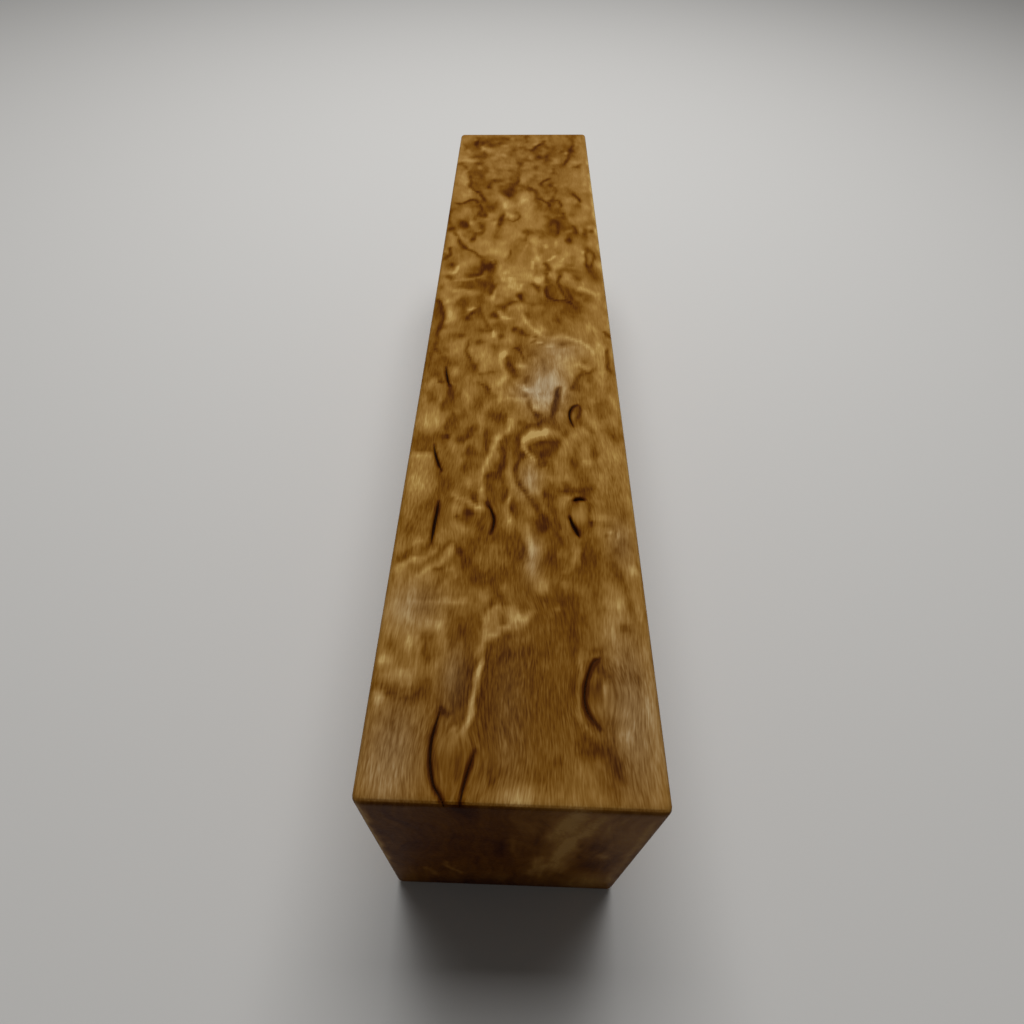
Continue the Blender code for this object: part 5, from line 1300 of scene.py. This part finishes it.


@dataclass(frozen=True)
class OiledMasurBirch:
    """The finish of figured birch, sanded and oiled."""

    wood: tuple[tuple[float, Colour], ...] = (
        (0.0, (0.070, 0.016, 0.001, 1.0)),
        (0.12, (0.118, 0.034, 0.001, 1.0)),
        (0.3, (0.198, 0.075, 0.003, 1.0)),
        (0.5, (0.290, 0.134, 0.018, 1.0)),
        (0.7, (0.385, 0.198, 0.042, 1.0)),
        (0.88, (0.490, 0.284, 0.070, 1.0)),
        (1.0, (0.600, 0.382, 0.118, 1.0)),
    )
    pale_wood: tuple[tuple[float, Colour], ...] = (
        (0.0, (0.060, 0.022, 0.006, 1.0)),
        (0.3, (0.190, 0.090, 0.024, 1.0)),
        (0.6, (0.370, 0.220, 0.088, 1.0)),
        (1.0, (0.620, 0.490, 0.300, 1.0)),
    )
    # The bark's dark brown with painted shade for the inside of the slits
    slit_bark_and_painted_shade: Colour = (0.018, 0.0052, 0.0022, 1.0)
    end_grain_tint: Colour = (0.66, 0.545, 0.45, 1.0)

    # How noise bends the wood, and the patterns that are read in the bent wood
    drift: Warp = Warp(Pattern((0.11, 0.06, 0.11), 1.0, 0.5), 5.0)
    swirl: Warp = Warp(Pattern((0.34, 0.18, 0.34), 1.0, 0.5), 2.6)
    thread_sway: Warp = Warp(Pattern((0.1, 0.06, 0.1), 1.0, 0.5), 1.8)
    # The waves and ripples are read as a painted sheen: a slope that faces the light, put into the colour
    waves: Waves = Waves(Pattern((0.36, 0.17, 0.36), 0.8, 0.45), (0.6, 0.7, 0.3))
    ripples: Waves = Waves(Pattern((0.9, 0.42, 0.9), 0.8, 0.45), (0.22, 0.28, 0.12))
    layers: Pattern = Pattern((0.2, 0.09, 0.2), 0.6, 0.4)
    clouds: Pattern = Pattern((0.22, 0.11, 0.22), 1.5, 0.5)
    rays: Pattern = Pattern((1.5, 0.3, 0.1), 2.0, 0.6)
    streaks: Pattern = Pattern((3.4, 0.3, 3.4), 2.0, 0.6)
    hairs: Pattern = Pattern((6.5, 0.8, 6.5), 1.5, 0.6)
    fleck_sheets: Pattern = Pattern((0.4, 0.2, 0.4), 0.6, 0.5)
    fleck_patches: Pattern = Pattern((0.52, 0.3, 0.52), 0.5, 0.5)

    # How strongly each of them shows in the tone
    # The strength of the painted sheen of the waves
    sheen_strength: float = 2.4
    layer_count: float = 9.0
    layer_bend: float = 2.0
    layer_edge: float = 0.14
    layer_mean: float = 0.36
    layer_strength: float = 0.36
    fleck_edge: Span = (0.034, 0.004)
    fleck_cover: Span = (0.53, 0.63)
    fleck_strength: float = 0.45
    mark_strength: float = 1.25
    mark_grain: float = 1.2
    ray_strength: float = 0.5
    end_grain_shade: float = 0.06
    end_grain_calm: float = 0.75

    # The fibres' strength in loud wood and what calm adds to it, and where along the block they blur
    streak_strength: Span = (0.12, 0.24)
    hair_strength: Span = (0.14, 0.62)
    blur_along: Span = (-35.0, 25.0)
    blur: float = 0.65

    # The slits' ragged rims, the gloss and the relief
    slit_raggedness: float = 0.08
    slit_rim: Span = (-0.06, 0.07)
    slit_relief: float = 0.6
    slit_gloss: float = 0.15
    figure_relief: float = 0.3
    roughness: float = 0.46
    roughness_grain: float = 0.2
    bump_strength: float = 0.25
    bump_height: float = 0.06 * MM
    specular_level: float = 0.02
    specular_tint: Colour = (1.0, 0.75, 0.45, 1.0)

    def _warp(self, graph: ShaderGraph, place: Shade, warp: Warp) -> Shade:
        """A place moved about by noise."""
        noise = graph.noise(place, warp.pattern, "Color")
        moved = graph.vector("SUBTRACT", noise, (NOISE_MEAN, NOISE_MEAN, NOISE_MEAN))
        return graph.vector("ADD", place, graph.dim(moved, warp.push))

    def _slope(self, graph: ShaderGraph, place: Shade, waves: Waves) -> Shade:
        """Painted sheen: the satin light and dark of wavy fibres, as a slope that faces the light or turns
        away.
        """
        aside = graph.vector("ADD", place, waves.step)
        return graph.noise(place, waves.pattern) - graph.noise(aside, waves.pattern)

    def _layered(self, graph: ShaderGraph, place: Shade, marks: Shade) -> Shade:
        """Layers of growth cut through aslant: each dark at one crisp edge and fading to the next.

        Args:
            graph: the material's graph.
            place: where to read them, in millimetres.
            marks: the drawn tone, which the layers run round.

        Returns:
            How dark the layers are, from 0 to 1.
        """
        height = graph.noise(place, self.layers)
        share = graph.math("FRACT", height * self.layer_count + marks * self.layer_bend)
        return graph.step(share, 0.0, self.layer_edge) * (1.0 - share)

    def _flecks(self, graph: ShaderGraph, place: Shade) -> Shade:
        """Short dark curls that bark left, all through the wood."""
        sheet = graph.noise(place, self.fleck_sheets)
        ridge = graph.step(abs(sheet - NOISE_MEAN), *self.fleck_edge)
        return ridge * graph.step(graph.noise(place, self.fleck_patches), *self.fleck_cover)

    def _figure(self, graph: ShaderGraph, drift: Shade, marks: Shade, drawn: Shade) -> Shade:
        """The broad light and dark that run through all of the wood, with the painted sheen of its wavy
        fibres.

        Args:
            graph: the material's graph.
            drift: the place to read it at, in drifting wood.
            marks: the drawn tone.
            drawn: where the figure is drawn, and has no layers of its own.

        Returns:
            Its tone, around 0.
        """
        swirl = self._warp(graph, drift, self.swirl)
        # Painted sheen of the wavy fibres, put into the tone
        painted_sheen = self._slope(graph, swirl, self.waves) * self.sheen_strength
        painted_sheen = painted_sheen + self._slope(graph, swirl, self.ripples)
        layers = (self.layer_mean - self._layered(graph, swirl, marks)) * (1.0 - drawn)
        clouds = graph.noise(drift, self.clouds) - NOISE_MEAN
        return painted_sheen + layers * self.layer_strength + clouds

    def _fibres(self, streaks: Shade, hairs: Shade, calm: Shade) -> Shade:
        """The tone of the fine fibres, which show the most where the figure is calm."""
        loud_streak, calm_streak = self.streak_strength
        loud_hair, calm_hair = self.hair_strength
        return streaks * (calm * calm_streak + loud_streak) + hairs * (calm * calm_hair + loud_hair)

    def material(self) -> bpy.types.Material:
        """Builds the material.

        Returns:
            The finish, which reads the mesh's own attributes.
        """
        graph = ShaderGraph("oiled_masur_birch")
        place = graph.attribute(Attribute.FIBRE_PLACE.value)
        drawn_tone, slit, pale = graph.parts(graph.attribute(Attribute.FIGURE.value))
        end_grain, drawn, calm = graph.parts(graph.attribute(Attribute.SURFACE.value))
        drift = self._warp(graph, place, self.drift)
        threads = self._warp(graph, place, self.thread_sway)
        streaks = graph.noise(threads, self.streaks) - NOISE_MEAN
        hairs = graph.noise(threads, self.hairs) - NOISE_MEAN
        crisp = 1.0 - graph.step(graph.parts(place)[1], *self.blur_along) * self.blur

        figure = self._figure(graph, drift, drawn_tone, drawn) * (1.0 - calm)
        fibres = self._fibres(streaks, hairs, calm) * crisp
        rays = (graph.noise(drift, self.rays) - NOISE_MEAN) * self.ray_strength
        flecks = self._flecks(graph, drift) * (1.0 - drawn) * (1.0 - end_grain)
        tone = (figure + fibres) * (1.0 - end_grain * self.end_grain_calm)
        tone = tone + (rays - self.end_grain_shade) * end_grain
        tone = tone + drawn_tone * (self.mark_strength + streaks * crisp * self.mark_grain)
        tone = tone + PLAIN_WOOD - flecks * self.fleck_strength

        colour = graph.blend(pale, graph.ramp(tone, self.wood), graph.ramp(tone, self.pale_wood))
        tint = graph.blend(end_grain, WHITE, self.end_grain_tint)
        colour = graph.vector("MULTIPLY", colour, tint)
        # Where a slit opens, the colour turns to its bark with painted shade
        opened = graph.step(slit + streaks * self.slit_raggedness, *self.slit_rim)
        roughness = self.roughness + streaks * self.roughness_grain - opened * self.slit_gloss
        relief = fibres + figure * self.figure_relief - opened * self.slit_relief
        inputs = {"Strength": self.bump_strength, "Distance": self.bump_height, "Height": relief}
        bump = graph.node("Bump", inputs=inputs)
        return graph.finish(
            Base_Color=graph.blend(opened, colour, self.slit_bark_and_painted_shade),
            Roughness=roughness,
            Normal=Shade(graph, bump.outputs["Normal"]),
            Specular_IOR_Level=self.specular_level,
            Specular_Tint=self.specular_tint,
        )


@dataclass(frozen=True)
class PlainFinish:
    """One even matt colour, for the studio."""

    name: str
    colour: Colour
    roughness: float

    def material(self) -> bpy.types.Material:
        """Builds the material."""
        return ShaderGraph(self.name).finish(Base_Color=self.colour, Roughness=self.roughness)


def select_only(piece: bpy.types.Object) -> None:
    """Makes one object the only one that an operator acts on."""
    bpy.ops.object.select_all(action="DESELECT")
    piece.select_set(True)
    bpy.context.view_layer.objects.active = piece


def read_points(mesh: bpy.types.Mesh, kind: str = "co") -> np.ndarray:
    """A mesh's points, or their normals, one a row."""
    values = np.empty(len(mesh.vertices) * 3)
    mesh.vertices.foreach_get(kind, values)
    return values.reshape(-1, 3)


@dataclass
class MasurBirchBlock:
    """The block's fine surface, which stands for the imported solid."""

    # The sawn blank and how far sanding rounds its edges
    near_skew: float = math.radians(-0.6)
    near_lean: float = math.radians(0.2)
    far_skew: float = math.radians(5.4)
    under_radius: float = 1.5 * MM
    upright_radius: float = 0.7 * MM
    edge_radius: float = 0.6 * MM
    edge_segments: int = 4

    # The mesh's cells, and the faces and places that get finer ones
    cell: float = 0.8 * MM
    top_cuts: int = 2
    end_cuts: int = 1
    slit_cuts: int = 2
    slit_margin: float = 0.55
    hidden_slit_margin: float = 1.0
    facing: float = 0.4
    top_facing: float = 0.2
    end_facing: float = 0.9

    # The slits, the darker wood around them, and the left side's hollow
    slit_depth: float = 0.45 * MM
    slit_wall: Span = (-0.02, 0.14)
    slit_halo: float = 0.24
    halo_tone: float = 0.3
    side_hollow: float = 0.1 * MM

    # The figure, the near end's painted shade, and where it passes from the top face to the sides and the
    # ends
    drawn_depth: float = 2.5 * MM
    top_calm: float = 0.72
    side_calm: float = 0.5
    # Painted shade: the near end is darker than the far end, as it faces away from the light
    near_end_painted_shade: float = 0.112
    end_grain_turn: Span = (0.3, 0.9)
    near_end_turn: Span = (0.5, 0.95)

    # The bake's layout, in millimetres: between two faces, and beyond the ends that aren't square
    layout_gap: float = 1.5
    skew_room: float = 4.0

    def __post_init__(self) -> None:
        """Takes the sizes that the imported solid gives."""
        low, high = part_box(NODE)
        self.low = np.array(low)
        self.high = np.array(high)
        self.half_width = (high[0] - low[0]) / 2
        self.height = high[2] - low[2]
        flat_half = self.half_width - self.upright_radius
        self.near_y = low[1] + abs(math.tan(self.near_skew)) * flat_half
        self.far_y = high[1] - abs(math.tan(self.far_skew)) * flat_half

    def _add_blank(self) -> bpy.types.Object:
        """The sawn blank before sanding, with its ends out of square."""
        bpy.ops.object.select_all(action="DESELECT")
        length = self.far_y - self.near_y
        centre = (0.0, (self.near_y + self.far_y) / 2, self.height / 2)
        scale = (2 * self.half_width, length, self.height)
        bpy.ops.mesh.primitive_cube_add(size=1.0, location=centre, scale=scale)
        block = bpy.context.active_object
        block.name = "masur_birch_surface"
        bpy.ops.object.transform_apply(location=True, rotation=True, scale=True)
        for number in range(len(block.data.vertices)):
            self._push_corner(block, number)
        return block

    def _push_corner(self, block: bpy.types.Object, number: int) -> None:
        """Moves one corner of the blank along its length, to where the saw went."""
        corner = block.data.vertices[number].co
        if corner.y < 0:
            lean = (self.height - corner.z) * math.tan(self.near_lean)
            push = corner.x * math.tan(self.near_skew) + lean
        else:
            push = corner.x * math.tan(self.far_skew)
        chosen = np.arange(len(block.data.vertices)) == number
        bpy.context.tool_settings.mesh_select_mode = (True, False, False)
        self._select(block.data.vertices, chosen)
        bpy.ops.object.mode_set(mode="EDIT")
        bpy.ops.transform.translate(value=(0.0, push, 0.0))
        bpy.ops.object.mode_set(mode="OBJECT")

    def _edge_radius(self, block: bpy.types.Object, edge: bpy.types.MeshEdge) -> float:
        """How far sanding rounded one edge of the blank."""
        ends = [block.data.vertices[number].co for number in edge.vertices]
        along = ends[1] - ends[0]
        if abs(along.z) > self.height / 2:
            return self.upright_radius
        lies_under = ends[0].z < self.height / 2
        runs_lengthwise = abs(along.y) > self.height
        return self.under_radius if lies_under and runs_lengthwise else self.edge_radius

    def _ease_edges(self, block: bpy.types.Object) -> None:
        """Rounds every edge by its own radius."""
        weights = block.data.attributes.new("bevel_weight_edge", "FLOAT", "EDGE")
        for edge in block.data.edges:
            weights.data[edge.index].value = self._edge_radius(block, edge) / self.under_radius
        rounding = block.modifiers.new("eased_edges", "BEVEL")
        rounding.limit_method = "WEIGHT"
        rounding.width = self.under_radius
        rounding.segments = self.edge_segments
        bpy.ops.object.modifier_apply(modifier=rounding.name)

    def _cut_across(self, block: bpy.types.Object, axis: int) -> None:
        """Cuts the edges that run along one axis into even cells."""
        places = read_points(block.data)
        ends = np.array([edge.vertices[:] for edge in block.data.edges])
        runs = np.abs(places[ends[:, 1]] - places[ends[:, 0]])
        long_enough = runs[:, axis] > self.half_width
        chosen = long_enough & (runs.argmax(1) == axis)
        bpy.context.tool_settings.mesh_select_mode = (False, True, False)
        self._select(block.data.edges, chosen)
        cuts = round(float(runs[chosen, axis].mean()) / self.cell) - 1
        self._subdivide(cuts)

    def _select(self, items: bpy.types.bpy_prop_collection, chosen: np.ndarray) -> None:
        """Selects some of a mesh's vertices, edges or faces and nothing else."""
        bpy.ops.object.mode_set(mode="EDIT")
        bpy.ops.mesh.select_all(action="DESELECT")
        bpy.ops.object.mode_set(mode="OBJECT")
        items.foreach_set("select", chosen)

    def _subdivide(self, cuts: int) -> None:
        """Cuts what is selected."""
        bpy.ops.object.mode_set(mode="EDIT")
        bpy.ops.mesh.subdivide(number_cuts=cuts)
        bpy.ops.object.mode_set(mode="OBJECT")

    def _refine(self, block: bpy.types.Object) -> None:
        """Gives the top face finer cells, and the wood round the slits finer ones still."""
        bpy.context.tool_settings.mesh_select_mode = (False, False, True)
        centres, normals = self._faces(block.data)
        top = (normals[:, 2] > self.top_facing) & (centres[:, 2] > self.height - self.edge_radius)
        self._select(block.data.polygons, top)
        self._subdivide(self.top_cuts)
        _, normals = self._faces(block.data)
        self._select(block.data.polygons, normals[:, 1] < -self.end_facing)
        self._subdivide(self.end_cuts)
        hidden = self._near_slits(block.data, HIDDEN_FACES, self.hidden_slit_margin)
        self._select(block.data.polygons, hidden)
        self._subdivide(self.top_cuts)
        nearest = self._near_slits(block.data, (TOP, *HIDDEN_FACES), self.slit_margin)
        self._select(block.data.polygons, nearest)
        self._subdivide(self.slit_cuts)

    def _near_slits(self, mesh: bpy.types.Mesh, faces: Sequence[LongFace], margin: float) -> np.ndarray:
        """Which of a mesh's polygons lie near a slit.

        Args:
            mesh: the block's mesh.
            faces: the long faces to look on.
            margin: how near a slit's rim they lie, in millimetres.

        Returns:
            True for each polygon that does.
        """
        centres, normals = self._faces(mesh)
        return self._measure_slits(centres, normals, faces)[0] > -margin

    def _faces(self, mesh: bpy.types.Mesh) -> tuple[np.ndarray, np.ndarray]:
        """Each face's centre and normal, one a row."""
        centres = np.empty(len(mesh.polygons) * 3)
        normals = np.empty(len(mesh.polygons) * 3)
        mesh.polygons.foreach_get("center", centres)
        mesh.polygons.foreach_get("normal", normals)
        return centres.reshape(-1, 3), normals.reshape(-1, 3)

    def _places(self, points: np.ndarray, face: LongFace) -> np.ndarray:
        """Points as (across, along) on a long face, in millimetres from its near corner."""
        across = np.array(face.across)
        corner = np.where(across > 0, self.low, self.high)
        return np.stack([(points - corner) @ across, points[:, 1] - self.near_y], 1) / MM

    def _measure_slits(
        self, points: np.ndarray, normals: np.ndarray, faces: Sequence[LongFace]
    ) -> tuple[np.ndarray, np.ndarray]:
        """Measures where points lie to the slits of the long faces that they are on.

        Args:
            points: the points, one a row.
            normals: which way the surface looks at each.
            faces: the long faces.

        Returns:
            How far inside a slit's rim each point is, in millimetres, and its face's outward way.
        """
        slit = np.full(len(points), Drawing.outside)
        outward = np.zeros_like(points)
        for face in faces:
            here = normals @ np.array(face.outward) > self.facing
            slit[here] = face.drawing.slit_depth(self._places(points[here], face))
            outward[here] = face.outward
        return slit, outward

    def _store(self, mesh: bpy.types.Mesh, attribute: Attribute, values: np.ndarray) -> None:
        """Keeps a vector at each of the mesh's points."""
        layer = mesh.attributes.new(attribute.value, "FLOAT_VECTOR", "POINT")
        layer.data.foreach_set("vector", values.astype(np.float32).ravel())

    def _draw_figure(self, mesh: bpy.types.Mesh) -> np.ndarray:
        """Measures the figure at each point and keeps it for the finish.

        Args:
            mesh: the block's mesh.

        Returns:
            How far each point sinks into a slit, as a vector in metres.
        """
        points = read_points(mesh)
        normals = read_points(mesh, "normal")
        places = self._places(points, TOP)
        drawn = ease(points[:, 2], self.height - self.drawn_depth, self.height - self.edge_radius)
        fibre_place = points / MM
        fibre_place[:, :2] += bend_fibres(places) * drawn[:, None]
        slit, outward = self._measure_slits(points, normals, (TOP, *HIDDEN_FACES))
        halo = np.exp(-((np.minimum(slit, 0) / self.slit_halo) ** 2))
        tone = TOP.drawing.tone(places) * drawn - self.halo_tone * halo
        pale = np.clip(add_clouds(places, PALE_PATCHES), 0, 1) * drawn
        calm = np.clip(self.top_calm + add_clouds(places, CALM_PATCHES), 0, 1)
        calm = self.side_calm + (calm - self.side_calm) * drawn
        end_grain = ease(np.abs(normals[:, 1]), *self.end_grain_turn)
        near_end = ease(-normals[:, 1], *self.near_end_turn)
        end_places = (points[:, ::2] + np.array([self.half_width, 0.0])) / MM
        # The near end's grain, darkened by its painted shade
        end_tone = NEAR_END_DRAWING.tone(end_places) - self.near_end_painted_shade
        tone = tone * (1 - near_end) + end_tone * near_end
        self._store(mesh, Attribute.FIBRE_PLACE, fibre_place)
        self._store(mesh, Attribute.FIGURE, np.stack([tone, slit, pale], 1))
        self._store(mesh, Attribute.SURFACE, np.stack([end_grain, drawn, calm], 1))
        return -outward * (self.slit_depth * ease(slit, *self.slit_wall))[:, None]

    def _carve(self, mesh: bpy.types.Mesh, sink: np.ndarray) -> None:
        """Sinks the slits and hollows the left side.

        Args:
            mesh: the block's mesh.
            sink: how far each point sinks into a slit, as a vector in metres.
        """
        points = read_points(mesh) + sink
        along = (points[:, 1] - self.near_y) / (self.far_y - self.near_y)
        leftness = ease(-points[:, 0], 0, self.half_width)
        points[:, 0] += self.side_hollow * leftness * np.sin(np.pi * np.clip(along, 0, 1)) ** 2
        mesh.vertices.foreach_set("co", points.ravel())
        mesh.update()

    def _unwrap(self, mesh: bpy.types.Mesh) -> None:
        """Lays the six faces out side by side, each seen square on."""
        loops = np.empty(len(mesh.loops), dtype=int)
        mesh.loops.foreach_get("vertex_index", loops)
        counts = np.empty(len(mesh.polygons), dtype=int)
        mesh.polygons.foreach_get("loop_total", counts)
        _, normals = self._faces(mesh)
        axes = np.abs(normals).argmax(1)
        outward = normals[np.arange(len(normals)), axes] > 0
        loop_axes = np.repeat(axes, counts)
        loop_outward = np.repeat(outward, counts)
        gap = self.layout_gap
        width, height = 2 * self.half_width / MM, self.height / MM
        length = (self.far_y - self.near_y) / MM + self.skew_room
        points = read_points(mesh)[loops] / MM
        x, y, z = points[:, 0] + width / 2, points[:, 1] + length / 2, points[:, 2]

        # By the axis that a face looks along, and whether it looks up it: its two ways and its corner
        strips = {
            (2, True): (x, y, gap, gap),
            (2, False): (x, y, 2 * gap + width, gap),
            (0, False): (z, y, 3 * gap + 2 * width, gap),
            (0, True): (z, y, 4 * gap + 2 * width + height, gap),
            (1, False): (x, z, gap, 2 * gap + length),
            (1, True): (x, z, 2 * gap + width, 2 * gap + length),
        }
        across = 5 * gap + 2 * width + 2 * height
        upward = 3 * gap + length + height
        layout = np.zeros((len(loops), 2))
        for (axis, side), (first, second, start_across, start_up) in strips.items():
            here = (loop_axes == axis) & (loop_outward == side)
            layout[here, 0] = (first[here] + start_across) / across
            layout[here, 1] = (second[here] + start_up) / upward
        layer = mesh.uv_layers.new(name="OFBake")
        layer.data.foreach_set("uv", layout.ravel())

    def build(self) -> bpy.types.Object:
        """Models the surface and dresses it.

        Returns:
            The finished piece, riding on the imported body.
        """
        block = self._add_blank()
        self._ease_edges(block)
        for axis in (1, 0, 2):
            self._cut_across(block, axis)
        self._refine(block)
        sink = self._draw_figure(block.data)
        self._carve(block.data, sink)
        self._unwrap(block.data)
        select_only(block)
        bpy.ops.object.shade_smooth()
        block.data.materials.append(OiledMasurBirch().material())
        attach(block, "root")
        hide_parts(NODE)
        return block


@dataclass(frozen=True)
class Studio:
    """The floor, the lights and the camera."""

    floor_size: float = 6.0
    floor_colour: Colour = (0.72, 0.71, 0.69, 1.0)
    floor_roughness: float = 0.8
    key_place: Point = (0.0, 0.17, 0.38)
    key_size: float = 0.3
    key_power: float = 1.4
    sky_colour: Colour = (1.0, 0.97, 0.93, 1.0)
    sky_strength: float = 0.06
    camera_from_near_end: Point = (-1.17 * MM, -13.95 * MM, 87.15 * MM)
    camera_yaw: float = math.radians(0.79)
    camera_pitch: float = math.radians(50.78)
    camera_roll: float = math.radians(2.38)
    focal_pixels: float = 646.61
    picture_pixels: float = 1024.0
    sensor_width: float = 36.0
    clip_start: float = 0.005

    def lay_floor(self) -> bpy.types.Object:
        """Lays the plain pale floor."""
        bpy.ops.object.select_all(action="DESELECT")
        bpy.ops.mesh.primitive_plane_add(size=self.floor_size, location=(0.0, 0.0, 0.0))
        floor = bpy.context.active_object
        floor.name = "studio_floor"
        finish = PlainFinish("pale_floor", self.floor_colour, self.floor_roughness)
        floor.data.materials.append(finish.material())
        return floor

    def hang_lights(self) -> None:
        """Hangs one big soft light above and behind the block, under a dim sky."""
        bpy.ops.object.light_add(type="AREA", location=self.key_place)
        key = bpy.context.active_object
        key.name = "key_softbox"
        key.data.size = self.key_size
        key.data.energy = self.key_power
        key.rotation_euler = (-Vector(self.key_place)).to_track_quat("-Z", "Y").to_euler()
        world = bpy.data.worlds.new("studio_sky")
        world.use_nodes = True
        background = world.node_tree.nodes["Background"]
        background.inputs["Color"].default_value = self.sky_colour
        background.inputs["Strength"].default_value = self.sky_strength
        bpy.context.scene.world = world

    def place_camera(self, near_y: float) -> None:
        """Puts the camera close above the near end, looking down along the block.

        Args:
            near_y: where the near end's top edge is, along the block.
        """
        ahead = Vector((math.sin(self.camera_yaw), math.cos(self.camera_yaw), 0.0))
        level_right = Vector((math.cos(self.camera_yaw), -math.sin(self.camera_yaw), 0.0))
        upward = Vector((0.0, 0.0, 1.0))
        forward = ahead * math.cos(self.camera_pitch) - upward * math.sin(self.camera_pitch)
        level_up = ahead * math.sin(self.camera_pitch) + upward * math.cos(self.camera_pitch)
        right = level_right * math.cos(self.camera_roll) + level_up * math.sin(self.camera_roll)
        up = level_up * math.cos(self.camera_roll) - level_right * math.sin(self.camera_roll)
        place = Vector(self.camera_from_near_end) + Vector((0.0, near_y, 0.0))
        bpy.ops.object.camera_add()
        camera = bpy.context.active_object
        turn = Matrix((right, up, -forward)).transposed().to_4x4()
        camera.matrix_world = Matrix.Translation(place) @ turn
        camera.data.sensor_width = self.sensor_width
        camera.data.lens = self.focal_pixels / self.picture_pixels * self.sensor_width
        camera.data.clip_start = self.clip_start
        bpy.context.scene.camera = camera

    def set_colours(self) -> None:
        """Shows colours as they are, with no film look."""
        bpy.context.scene.view_settings.view_transform = "Standard"
        bpy.context.scene.view_settings.look = "None"


def main() -> None:
    """Builds the block and the studio in order, and reports each piece."""
    logging.basicConfig(level=logging.INFO, format="%(name)s: %(message)s")
    block = MasurBirchBlock()
    surface = block.build()
    triangles = sum(len(face.vertices) - 2 for face in surface.data.polygons)
    log.info("%s: %d triangles", surface.name, triangles)
    studio = Studio()
    floor = studio.lay_floor()
    log.info("%s: %.1f m square", floor.name, studio.floor_size)
    studio.hang_lights()
    studio.place_camera(block.near_y)
    studio.set_colours()
    log.info("camera: %.1f mm lens", bpy.context.scene.camera.data.lens)


if __name__ == "__main__":
    main()
